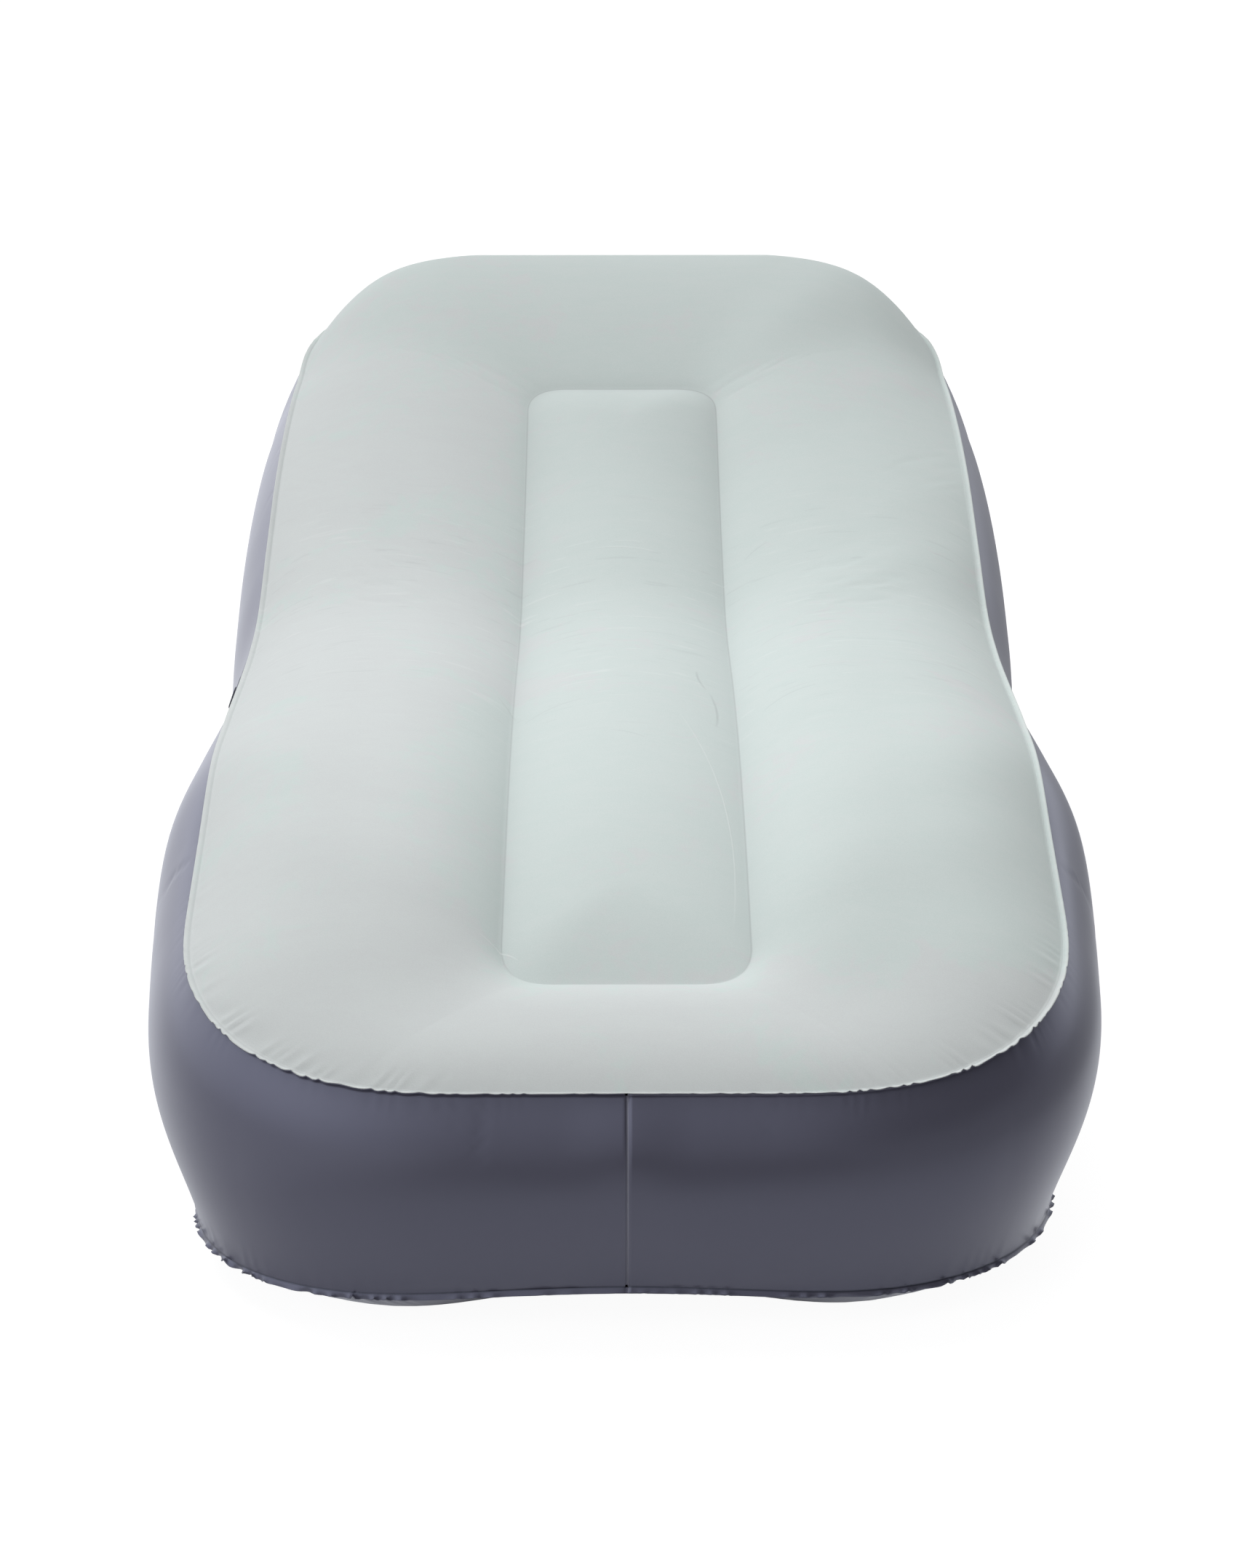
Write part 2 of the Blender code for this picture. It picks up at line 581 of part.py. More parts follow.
def valve_base(wall_left, finish):
    """The welded ring: a flange behind the wall, and a throat that comes out through it to a collar. Its ear
    carries the dump plug's strap."""
    under = BASE_TOP - BASE_SHEET
    base = turned("valve_base", [(BASE_RADIUS, under), (BASE_RADIUS, BASE_TOP), (THROAT_OUTER, BASE_TOP),
                                 (THROAT_OUTER, COLLAR_RISE), (THROAT_RADIUS, COLLAR_RISE),
                                 (THROAT_RADIUS, under)], finish)
    base.matrix_world = valve_frame()
    ear = block("valve_base_ear", (-EAR_WIDTH / 2, -PLUG_REACH - EAR_BEYOND, FIT),
                (EAR_WIDTH / 2, THROAT_WALL / 2 - THROAT_OUTER, COLLAR_RISE - STRAP_STEP))
    ear.parent = base
    cut_with(base, ear, "UNION")
    hole = rod("valve_hole", THROAT_OUTER + FIT, OVERRUN)
    hole.matrix_world = valve_frame()
    cut_with(wall_left, hole)
    return base


def dump_plug(base, finish):
    """The wide stopper in the throat, with the inflation nozzle down its middle. Its skirt tapers so that it
    swings out clear of the throat."""
    under, top, end = (level - PLUG_HINGE for level in (PLUG_UNDER, PLUG_TOP, NOZZLE_END))
    skirt = under - PLUG_DEPTH
    mouth = COLLAR_RISE - PLUG_HINGE
    wide, narrow = (swing_radius(PLUG_REACH, THROAT_RADIUS, level, mouth) for level in (under, skirt))
    inside = narrow - PLUG_WALL
    plug = turned("dump_plug", [(narrow, skirt), (wide, under), (PLUG_RADIUS, under), (PLUG_RADIUS, top),
                                (NOZZLE_RADIUS, top), (NOZZLE_RADIUS, end), (NOZZLE_OUTER, end),
                                (NOZZLE_OUTER, under), (inside, under), (inside, skirt)], finish)
    hinged(plug, PLUG_REACH, PLUG_RADIUS, PLUG_STRAP, PLUG_STRAP_WIDTH, PLUG_TAB)
    plug.parent = base
    plug.location = (0, -PLUG_REACH, PLUG_HINGE)
    ear = block("dump_plug_ear", (-FLAP_STRAP_WIDTH / 2, PLUG_REACH - FLAP_REACH - FLAP_EAR_BEYOND, end + STRAP_STEP),
                (FLAP_STRAP_WIDTH / 2, PLUG_REACH - NOZZLE_RADIUS - NOZZLE_WALL / 2, under + PLUG_DISC / 2))
    ear.parent = plug
    cut_with(plug, ear, "UNION")
    return plug


def inflation_cap(plug, finish):
    """The small stopper in the nozzle, hinged at the head side, so it opens towards the head."""
    under, top = CAP_UNDER - CAP_HINGE, CAP_UNDER + CAP_DISC - CAP_HINGE
    end = under - CAP_DEPTH
    wide, narrow = (swing_radius(CAP_REACH, NOZZLE_RADIUS, level, PLUG_TOP - CAP_HINGE) for level in (under, end))
    cap = turned("inflation_cap", [(0, end), (narrow, end), (wide, under), (CAP_RADIUS, under), (CAP_RADIUS, top),
                                   (0, top)], finish)
    hinged(cap, CAP_REACH, CAP_RADIUS, CAP_STRAP, CAP_STRAP_WIDTH, CAP_TAB)
    cap.parent = plug
    cap.location = (-CAP_REACH, PLUG_REACH, CAP_HINGE - PLUG_HINGE)
    cap.rotation_euler = (0, 0, -math.pi / 2)


def check_flap(plug, finish):
    """The thin disc that air from the pump pushes off the nozzle's inner end, and that closes by itself."""
    under = -STRAP_STEP - FLAP_STRAP / 2
    top = under + FLAP_SHEET
    flap = turned("check_flap", [(0, under), (FLAP_RADIUS, under), (FLAP_RADIUS, top), (0, top)], finish)
    hinged(flap, FLAP_REACH, FLAP_RADIUS, FLAP_STRAP, FLAP_STRAP_WIDTH, 0)
    flap.parent = plug
    flap.location = (0, PLUG_REACH - FLAP_REACH, FLAP_HINGE - PLUG_HINGE)
    flap.rotation_euler = (0, math.pi, 0)


def lay_flat(sheet):
    """Cuts the bottom sheet level where it stands on the floor."""
    reach = SEAM_LENGTH + SEAM_HALF_WIDTH
    cut_with(sheet, block("floor", (-reach, -reach, -OVERRUN), (reach, reach, 0)))


def build():
    for thing in list(bpy.data.objects):
        bpy.data.objects.remove(thing)
    flocked = material("pale_flocked_sheet", (0.66, 0.74, 0.72), 0.95)
    smooth = material("dark_smooth_sheet", (0.085, 0.085, 0.115), 0.5)
    inner = material("clear_grey_sheet", (0.35, 0.36, 0.40), 0.5)
    moulded = material("black_moulding", (0.012, 0.012, 0.014), 0.45)
    deck("top_sheet", RAIL_SHARES, 1, top_form, top_pillow, flocked)
    lay_flat(deck("bottom_sheet", BOTTOM_RAIL_SHARES, -1, bottom_form, bottom_pillow, smooth))
    wall("side_wall_right", 1, False, smooth)
    wall_left = wall("side_wall_left", -1, True, smooth)
    baffle("inner_baffle_right", 1, inner)
    baffle("inner_baffle_left", -1, inner)
    plug = dump_plug(valve_base(wall_left, moulded), moulded)
    inflation_cap(plug, moulded)
    check_flap(plug, moulded)


build()
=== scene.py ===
# %% [markdown]
# This lesson dresses an inflatable lounger: a long air bed with a raised back and a sunken middle panel.
# The real one is cut from flat vinyl sheet and welded by radio frequency, and air alone gives it its
# shape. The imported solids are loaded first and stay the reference, and every sheet is then worked out
# again over them, at a resolution at which puckers, folds and weld lines can be shaped.

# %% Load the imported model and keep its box
import itertools
import math

import bpy
import numpy as np
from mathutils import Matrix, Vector


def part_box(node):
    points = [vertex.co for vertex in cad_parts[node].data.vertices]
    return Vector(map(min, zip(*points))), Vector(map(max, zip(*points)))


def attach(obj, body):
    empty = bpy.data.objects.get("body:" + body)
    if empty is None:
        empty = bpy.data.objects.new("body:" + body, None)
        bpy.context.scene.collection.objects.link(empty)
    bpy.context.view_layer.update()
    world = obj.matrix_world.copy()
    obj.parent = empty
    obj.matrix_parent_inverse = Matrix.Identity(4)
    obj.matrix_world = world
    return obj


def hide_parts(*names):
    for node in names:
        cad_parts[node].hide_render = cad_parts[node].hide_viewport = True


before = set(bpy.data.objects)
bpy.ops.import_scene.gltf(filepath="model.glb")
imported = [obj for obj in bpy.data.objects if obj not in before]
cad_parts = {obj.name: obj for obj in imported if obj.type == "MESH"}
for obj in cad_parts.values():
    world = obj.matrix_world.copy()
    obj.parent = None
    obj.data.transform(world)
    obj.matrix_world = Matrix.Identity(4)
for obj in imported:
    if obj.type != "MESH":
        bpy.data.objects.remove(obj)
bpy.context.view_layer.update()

print("nodes:", sorted(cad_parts))

# %% [markdown]
# A sewn or welded object is laid out from its seams. Here there are three: the top seam, the bottom seam
# and the inner weld that draws the middle panel down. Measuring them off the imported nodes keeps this
# lesson in step with the solids, and the rest are the sizes that the maker would write on the cutting
# plan.

# %% Sizes of the seams, in metres
LIP = 0.006
TOP_LIP_ANGLE = math.radians(20)
BOTTOM_LIP_ANGLE = math.radians(50)
SHEET = 0.0006
WELD_GAP = 0.0003
lip_reach = LIP * math.cos(TOP_LIP_ANGLE)
top_low, top_high = (np.array(corner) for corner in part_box("top_sheet"))
HALF_WIDTH = float(top_high[0]) - lip_reach
FOOT_Y = float(top_low[1]) + lip_reach
LENGTH = float(top_high[1]) - lip_reach - FOOT_Y
BOTTOM_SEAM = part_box("inner_baffle_left")[0].z - WELD_GAP
FOOT_CORNER = 0.280
BOTTOM_FOOT_CORNER = 0.275
HEAD_CORNER = 0.205
CORNER_POWER = 2.6
RECESS_HALF_WIDTH = 0.116
RECESS_FROM_FOOT = 0.150
RECESS_FROM_HEAD = 0.370
RECESS_CORNER = 0.052
FOOT_ARCH = 0.009
print(f"top seam {2 * HALF_WIDTH:.3f} x {LENGTH:.3f} m, bottom seam {BOTTOM_SEAM:.4f} m over the floor")

# %% [markdown]
# Everything that varies from foot to head is a smooth curve through a few pairs: how high the top seam
# runs over the bottom seam, how far the walls stand out, how high the rails crown. A cubic through the
# pairs, whose slope at each is the mean of its neighbours' slopes, has no kinks, which matters on a
# surface as smooth as blown vinyl, where the eye finds any corner in the shading.

# %% Curves from foot to head
FOOT_HEIGHT = 0.196
SEAT_HEIGHT = 0.351
HEAD_HEIGHT = 0.590
FOOT_RISE_SHARES = ((0.0, 0.0), (0.068, 0.24), (0.137, 0.43), (0.205, 0.69), (0.275, 0.96), (0.345, 1.0),
                    (0.42, 1.0))
HEAD_RISE_SHARES = ((0.40, 0.0), (0.44, 0.0), (0.49, 0.012), (0.547, 0.075), (0.615, 0.29), (0.683, 0.5),
                    (0.752, 0.64), (0.82, 0.725), (0.888, 0.775), (0.95, 0.9), (1.0, 1.0))
CROWN_SHARES = ((0.045, 0.018), (0.11, 0.045), (0.16, 0.055), (0.21, 0.053), (0.28, 0.047), (0.39, 0.048),
                (0.54, 0.037), (0.65, 0.031), (0.79, 0.054), (0.87, 0.085), (0.92, 0.093))
DOME = 0.045
BULGE_SHARES = ((0.03, 0.024), (0.28, 0.060), (0.48, 0.036), (0.62, 0.050), (0.82, 0.061), (0.96, 0.060))
CREST_SHARES = ((0.66, 0.5), (0.80, 0.40), (0.92, 0.24))
FLANK_POWERS = ((0.62, 2.9), (0.78, 2.1), (0.92, 1.7))
WELD_FOOT_SHARES = ((0.0, 0.0), (0.045, 0.145), (0.083, 0.289), (0.13, 0.492), (0.17, 0.643), (0.21, 0.771),
                    (0.25, 0.875), (0.29, 0.957), (0.33, 1.017), (0.37, 1.055), (0.41, 1.071), (0.45, 1.071))
WELD_HEAD_SHARES = ((0.43, 0.0), (0.47, 0.0), (0.51, 0.008), (0.547, 0.047), (0.581, 0.125), (0.615, 0.217),
                    (0.649, 0.313), (0.683, 0.416), (0.717, 0.532), (0.752, 0.649), (0.80, 0.786))
PANEL_CROWN = 0.016
PANEL_SWELL = 0.012
PANEL_END = 0.30
BOTTOM_CROWN = 0.037
BOTTOM_END_CROWN = 0.014
BULGE_POWER = 2.2
BULGE_LIFT = 1.4
RAIL_POWER = 2.5
SLOPE_STEP = 0.004


def smooth_step(share):
    """Rises from 0 to 1 with level ends: three times the square less twice the cube."""
    share = np.clip(share, 0, 1)
    return share * share * (3 - 2 * share)


def cubic(knots, values, slopes, places):
    """Values at places, along the first axis, of the cubic that passes each knot at its value and its
    slope."""
    left = np.clip(np.searchsorted(knots, places, side="right") - 1, 0, len(knots) - 2)
    shape = places.shape + (1,) * (values.ndim - 1)
    width = (knots[left + 1] - knots[left]).reshape(shape)
    t = (places - knots[left]).reshape(shape) / width
    rise = values[left] * (1 + 2 * t) * (1 - t) ** 2 + values[left + 1] * t * t * (3 - 2 * t)
    return rise + width * (slopes[left] * t * (1 - t) ** 2 - slopes[left + 1] * t * t * (1 - t))


def smooth_curve(pairs, places):
    """The cubic through the pairs, whose slope at each pair is the mean of the straight slopes beside
    it."""
    knots, values = np.array(pairs, float).T
    secants = np.diff(values) / np.diff(knots)
    slopes = np.concatenate((secants[:1], (secants[:-1] + secants[1:]) / 2, secants[-1:]))
    return cubic(knots, values, slopes, np.clip(places, knots[0], knots[-1]))


def risen(foot, head):
    """Height over the bottom seam at shares of the rise from foot to seat and of the rise from seat to
    head."""
    return FOOT_HEIGHT + foot * (SEAT_HEIGHT - FOOT_HEIGHT) + head * (HEAD_HEIGHT - SEAT_HEIGHT)


def seam_height(y):
    """Height of the top seam at distance y from the foot: its two rises, each a smooth curve of the
    share of the length."""
    return risen(smooth_curve(FOOT_RISE_SHARES, y / LENGTH), smooth_curve(HEAD_RISE_SHARES, y / LENGTH))


def weld_height(y):
    """Height of the inner weld at distance y from the foot, by rises of its own."""
    return risen(smooth_curve(WELD_FOOT_SHARES, y / LENGTH), smooth_curve(WELD_HEAD_SHARES, y / LENGTH))


def wall_bulge(y, share):
    """How far a wall stands out: its curve from foot to head times an arch over the share of its
    height."""
    return smooth_curve(BULGE_SHARES, y / LENGTH) * (1 - np.abs(2 * share ** BULGE_LIFT - 1) ** BULGE_POWER)


def slope_up(height, y):
    """Unit vectors square to a height line: its rise by a central difference, turned to stand up."""
    rise = (height(y + SLOPE_STEP) - height(y - SLOPE_STEP)) / (2 * SLOPE_STEP)
    up = np.stack((np.zeros_like(y), -rise, np.ones_like(y)), -1)
    return up / np.linalg.norm(up, axis=-1, keepdims=True)


print(f"seam height at foot, seat and head: {seam_height(np.array([0, 0.8, LENGTH])).round(3)}")

# %% [markdown]
# The seams are loops in plan with corners that ease in and out, like the power curve |u|^p + |v|^p = 1. A
# circle's arc would meet the straight side with a jump in bending, which shows on a glossy wall. The loop
# is drawn once very finely and then read by distance along it, so stations can be set close together in
# the corners, where the sheet puckers, and wide apart along the sides.

# %% Seam loops read by distance
FINE_STEP = 0.0030
WIDE_STEP = 0.0048
CORNER_MARGIN = 0.10
CORNER_SLACK = 0.030
DRAWN = 500


def half_loop(half_width, foot, head, foot_corner, head_corner):
    """The right half of a loop from its foot centre to its head centre, finely drawn: straight runs
    joined by power-curve corners walked by angle. Gives its points, their distances along it, its
    outward normals and the distances at which its five parts meet."""
    angle = np.linspace(0, math.pi / 2, DRAWN)
    across, along = np.sin(angle) ** (2 / CORNER_POWER), np.cos(angle) ** (2 / CORNER_POWER)
    share = np.linspace(0, 1, DRAWN)
    parts = [np.stack((share * (half_width - foot_corner), np.full(DRAWN, foot)), 1),
             np.stack((half_width - foot_corner * (1 - across), foot + foot_corner * (1 - along)), 1),
             np.stack((np.full(DRAWN, half_width), foot + foot_corner
                       + share * (head - head_corner - foot - foot_corner)), 1),
             np.stack((half_width - head_corner * (1 - across), head - head_corner * (1 - along)), 1)[::-1],
             np.stack(((1 - share) * (half_width - head_corner), np.full(DRAWN, head)), 1)]
    points = np.concatenate([parts[0]] + [part[1:] for part in parts[1:]])
    run = np.append(0, np.cumsum(np.linalg.norm(np.diff(points, axis=0), axis=1)))
    marks = run[np.arange(6) * (DRAWN - 1)]
    ahead = np.gradient(points, run, axis=0)
    normals = np.stack((ahead[:, 1], -ahead[:, 0]), 1)
    return {"points": points, "run": run, "normals": normals, "marks": marks}


def read_loop(loop, distance):
    """Points and unit outward normals of a drawn loop at the given distances along it."""
    points, normals = (np.stack([np.interp(distance, loop["run"], loop[kind][:, i]) for i in (0, 1)], -1)
                       for kind in ("points", "normals"))
    return points, normals / np.linalg.norm(normals, axis=-1, keepdims=True)


def blurred(values, spread):
    """A running mean weighted by the bell curve, with the values carried on past both ends by point
    symmetry."""
    reach = 3 * spread
    bell = np.exp(-(np.arange(-reach, reach + 1) / spread) ** 2 / 2)
    before, after = 2 * values[0] - values[reach:0:-1], 2 * values[-1] - values[-2:-reach - 2:-1]
    return np.convolve(np.concatenate((before, values, after)), bell / bell.sum(), "valid")


top_seam = half_loop(HALF_WIDTH, 0, LENGTH, FOOT_CORNER, HEAD_CORNER)
bottom_seam = {1: half_loop(HALF_WIDTH, 0, LENGTH, BOTTOM_FOOT_CORNER + CORNER_SLACK, HEAD_CORNER),
               -1: half_loop(HALF_WIDTH, 0, LENGTH, BOTTOM_FOOT_CORNER - CORNER_SLACK / 2, HEAD_CORNER)}
inner_weld = half_loop(RECESS_HALF_WIDTH, RECESS_FROM_FOOT, LENGTH - RECESS_FROM_HEAD,
                       RECESS_CORNER, RECESS_CORNER)
for title, loop in (("top", top_seam), ("bottom", bottom_seam[1]), ("inner", inner_weld)):
    print(title, "half loop", round(float(loop["run"][-1]), 3), "m")

# %% Stations along the seams, and the places on the other seams that they are tied to
marks = top_seam["marks"]
ruler = np.linspace(0, marks[-1], 4001)
in_corner = ((ruler > marks[1] - CORNER_MARGIN) & (ruler < marks[2] + CORNER_MARGIN)
             | (ruler > marks[3] - CORNER_MARGIN) & (ruler < marks[4] + CORNER_MARGIN))
step = blurred(np.where(in_corner, FINE_STEP, WIDE_STEP), 80)
count = np.append(0, np.cumsum(2 * np.diff(ruler) / (step[1:] + step[:-1])))
half_count = 2 * int(round(count[-1] / 2))
stations = np.interp(np.linspace(0, count[-1], half_count + 1), count, ruler)


def tied(loop, spread):
    """Distances along another loop that answer to the stations: its parts matched to the top seam's
    parts, with the change of pace at each joint blurred."""
    matched = blurred(np.interp(ruler, marks, loop["marks"]), spread)
    return np.interp(stations, ruler, matched)


weld_stations = tied(inner_weld, 90)
bottom_stations = {turn: tied(bottom_seam[turn], 40) for turn in (1, -1)}
print(len(stations), "stations on each half")

# %% [markdown]
# Nothing on a blown-up bed is straight. Its flat-cut sheets are too long round the outside of each
# corner, and the spare length gathers in puckers that run in from the weld. The same gathers bend the
# weld's own lip, so one row of cusps along each seam drives both: sharp where the sheet is pinched, round
# in between, and unevenly spaced, because a warp made of a few sine waves shifts them.

# %% Gathers along a seam
CUSP_WARP = 1.1
CUSP_LENGTHS = (3.1, 5.3, 9.7)
CUSP_POWER = 0.75


def sway(distance, lengths, seed):
    """A mean of sine waves of the given lengths, whose phases are drawn from the seed."""
    phases = np.random.default_rng(seed).uniform(0, 2 * math.pi, len(lengths))
    waves = [np.sin(2 * math.pi * distance / length + phase) for length, phase in zip(lengths, phases)]
    return np.sum(waves, 0) / len(lengths)


def cusps(distance, pitch, seed):
    """Pinched waves from -1 to 1: one less twice the root-like power of a sine's size, along a warped
    ruler."""
    lengths = [share * pitch for share in CUSP_LENGTHS]
    warped = distance + CUSP_WARP * pitch * sway(distance, lengths, seed)
    return 1 - 2 * np.abs(np.sin(math.pi * warped / pitch)) ** CUSP_POWER


def near(distance, place, spread):
    """A bell round a place, 1 at its top."""
    return np.exp(-((distance - place) / spread) ** 2)


foot_corner_at = (marks[1] + marks[2]) / 2
head_corner_at = (marks[3] + marks[4]) / 2
seam_distance = np.concatenate((stations, stations[-2:0:-1]))
seam_side = np.concatenate((np.ones(len(stations)), -np.ones(len(stations) - 2)))
print(f"corners at {foot_corner_at:.3f} and {head_corner_at:.3f} m along each half")

# %% Strength of the gathers round each seam
# Each row is the strength at the foot corners, at the head corners and at rest: the lips' in radians of bend
TOP_BEND = (0.30, 0.18, 0.03)
BOTTOM_BEND = (0.95, 0.50, 0.05)
TOP_FOLDS = (1.0, 0.5, 0.05)
BOTTOM_FOLDS = (1.0, 0.6, 0.08)
FOOT_BELL = 0.20
HEAD_BELL = 0.15
BURST_LENGTHS = (0.061, 0.097, 0.149)
LIP_SHARES = np.array((1.0, 0.8, 0.55, 0.3, 0.12))


def gather(distance, side, foot, head, rest):
    """How strongly a seam gathers: a calm rest all along, swollen in bursts round the foot and head
    corners."""
    burst = smooth_step(0.5 + 1.1 * sway(distance * side, BURST_LENGTHS, 3))
    foot_bell = near(distance, foot_corner_at, FOOT_BELL) * (0.5 + 0.5 * burst)
    return rest + foot * foot_bell + head * near(distance, head_corner_at, HEAD_BELL) * burst


def top_wave(distance, side):
    """Cusps along the top seam, with a pitch and a draw of their own on each side."""
    return np.where(side > 0, cusps(distance, 0.0165, 11), cusps(distance, 0.0185, 12))


def bottom_wave(distance, side):
    """Cusps along the bottom seam, wider than the top seam's."""
    return np.where(side > 0, cusps(distance, 0.026, 21), cusps(distance, 0.024, 22))


def lip_rows(seam, normals, distance, side, shares, top):
    """Points across a lip: from the seam along a direction tipped up or down, by an angle that follows
    the cusps, and more so towards the edge. Both sheets of one weld are given the same lip."""
    if top:
        bend = gather(distance, side, *TOP_BEND) * top_wave(distance, side)
        tip = TOP_LIP_ANGLE + bend[:, None] * shares ** 0.5
        reach = LIP * (1 - 0.30 * np.abs(bend))
    else:
        bend = gather(distance, side, *BOTTOM_BEND) * bottom_wave(distance, side)
        tip = -BOTTOM_LIP_ANGLE + bend[:, None] * shares ** 0.5
        reach = LIP * (1 - 0.25 * np.abs(bend))
    out = np.concatenate((normals, np.zeros((len(normals), 1))), 1)
    along = out[:, None] * np.cos(tip)[..., None] + np.array((0, 0, 1.0)) * np.sin(tip)[..., None]
    return seam[:, None] + along * (reach[:, None] * shares)[..., None]


print("lip rows:", len(LIP_SHARES))

# %% [markdown]
# The surfaces themselves are grids: one direction follows the stations along the seam, the other crosses
# the sheet. A rail is an arch between the outer seam and the inner weld. The weld is a narrow pressed
# band, level and a touch sunk, and inside it the middle panel is a low pillow that falls to its own weld
# on all sides.

# %% Rail and panel shapes
WELD_BAND = 0.0016
RAIL_ROWS = 54
PANEL_ROWS = 24
EASED_SHARE = 0.45


def eased(rows):
    """Shares from 0 to 1 set closer together at both ends: an even run mixed with a cosine."""
    share = np.linspace(0, 1, rows)
    return (1 - EASED_SHARE) * share + EASED_SHARE * (1 - np.cos(math.pi * share)) / 2


def rail_arch(share, crest, flank):
    """An arch over a rail: one less a power of the distance from its crest. The crest's place and the
    power of the flank that falls to the weld change from foot to head."""
    outside = 1 - np.clip(1 - share / crest, 0, 1) ** np.maximum(flank, RAIL_POWER)
    inside = 1 - np.clip((share - crest) / (1 - crest), 0, 1) ** flank
    return np.minimum(outside, inside)


def whole(right, left):
    """The right half, then the left half back to the foot, so the loop runs anticlockwise seen from
    above."""
    return np.concatenate((right, left[-2:0:-1] * (-1, 1)))


def whole_loop(loops, places):
    """Points and normals all round a loop, whose two halves are drawn for turn 1 and turn -1."""
    halves = [read_loop(loops[turn], places[turn]) for turn in (1, -1)]
    return [whole(right, left) for right, left in zip(*halves)]


def spine(weld):
    """The points of the middle line that the rings close on, one for each point of the inner weld."""
    y = np.clip(weld[:, 1], RECESS_FROM_FOOT + RECESS_HALF_WIDTH,
                LENGTH - RECESS_FROM_HEAD - RECESS_HALF_WIDTH)
    return np.stack((np.zeros_like(y), y), 1)


def on_floor(points):
    """Moves points from the foot seam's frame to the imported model's."""
    return points + np.array((0, FOOT_Y, BOTTOM_SEAM))


print("closest rows of a rail:", eased(RAIL_ROWS)[1].round(4), "of its width")

# %% Grid of a top or bottom sheet
def deck(outer_loop, outer_at, side, height, weld_at, lift, crown, arch_of, panel_crown):
    """A top sheet, where side is 1, or a bottom sheet, where it is -1, as a grid from the lip's edge
    over the rail and the weld to the middle line. Gives the grid and, for each row, its distance from
    the seam."""
    seam, normals = whole_loop(outer_loop, outer_at)
    weld = whole_loop({1: inner_weld, -1: inner_weld}, {1: weld_stations, -1: weld_stations})[0]
    gap = side * WELD_GAP / 2
    outer = np.column_stack((seam, height(seam[:, 1]) + lift(seam) + gap))
    inner = np.column_stack((weld, weld_at(weld[:, 1]) + gap))
    length = np.linalg.norm(inner - outer, axis=1)
    run = (inner - outer) * (1 - WELD_BAND / length)[:, None]
    up = slope_up(height, (seam[:, 1] + weld[:, 1]) / 2) if side > 0 else np.array((0, 0, 1.0))
    share = eased(RAIL_ROWS)
    arch = arch_of(seam, weld, share) * crown(seam, weld)[:, None] * side
    rail = outer[:, None] + share[:, None] * run[:, None] + up.reshape(-1, 1, 3) * arch[..., None]
    lip = lip_rows(outer, normals, seam_distance, seam_side, LIP_SHARES, side > 0)
    band = inner - np.array((0, 0, side * SHEET / 2))
    inward = spine(weld) - weld
    start = weld + inward * (WELD_BAND / np.linalg.norm(inward, axis=1))[:, None]
    share = eased(PANEL_ROWS)
    plan = start[:, None] + share[:, None] * (spine(weld) - start)[:, None]
    pillow = gap + side * panel_crown(plan, share * (2 - share))
    panel = np.concatenate((plan, (weld_at(plan[..., 1]) + pillow)[..., None]), -1)
    beyond = length[:, None] + WELD_BAND + np.linalg.norm(plan - start[:, None], axis=-1)
    across = np.concatenate((-LIP * np.tile(LIP_SHARES, (len(seam), 1)), eased(RAIL_ROWS) * length[:, None],
                             length[:, None], beyond), 1)
    return on_floor(np.concatenate((lip, rail, band[:, None], panel), 1)), across, length


print("rows across a sheet:", len(LIP_SHARES) + RAIL_ROWS + 1 + PANEL_ROWS)

# %% Top sheet
def rail_place(seam, weld):
    """How far towards the head a place on the rail counts as being: the mean of its two welds as a
    share of the length, and past half way a little more near the middle line, so the head end is domed."""
    middle = (seam + weld) / 2
    along = middle[:, 1] / LENGTH
    return along + DOME * smooth_step((along - 0.6) / 0.25) * (1 - (middle[:, 0] / HALF_WIDTH * 2) ** 2)


def top_crown(seam, weld):
    """The rail's crown from foot to head."""
    return smooth_curve(CROWN_SHARES, rail_place(seam, weld))


def top_pillow(plan, rise):
    """The panel's pillow: it rises quickly from its weld, and swells again over a long way from its
    foot end."""
    from_foot = (plan[..., 1] - RECESS_FROM_FOOT) / PANEL_END
    return rise * (PANEL_CROWN + PANEL_SWELL * (1 - np.clip(1 - from_foot, 0, 1) ** 2))


def top_arch(seam, weld, share):
    """The rail's arch with its crest and inner flank read at the mean of its two welds."""
    along = rail_place(seam, weld)[:, None]
    return rail_arch(share, smooth_curve(CREST_SHARES, along), smooth_curve(FLANK_POWERS, along))


top_grid, top_across, rail_length = deck({1: top_seam, -1: top_seam}, {1: stations, -1: stations}, 1,
                                         seam_height, weld_height, lambda seam: 0 * seam[:, 0], top_crown,
                                         top_arch, top_pillow)
print("top sheet grid:", top_grid.shape, "highest point", top_grid[..., 2].max().round(4))

# %% [markdown]
# A wall is a grid too: its columns run up from the bottom seam to the top seam and stand out by the
# bulge. Near the valve the left wall is drawn onto a plane, because a rigid ring can only be welded to
# flat sheet.

# %% Wall shapes
WALL_ROWS = 56
VALVE_FROM_FOOT = 0.870
VALVE_BELOW_SEAM = 0.050
PATCH_HEIGHT = 0.094
PATCH_FLAT = 0.036
PATCH_BLEND = 0.048


def bottom_arch(plan):
    """How far the bottom seam lifts in the middle of the foot end, falling smoothly to its corners."""
    middle = 1 - smooth_step(np.abs(plan[..., 0]) / (HALF_WIDTH - BOTTOM_FOOT_CORNER / 2))
    return FOOT_ARCH * middle * (1 - smooth_step(plan[..., 1] / RECESS_FROM_FOOT))


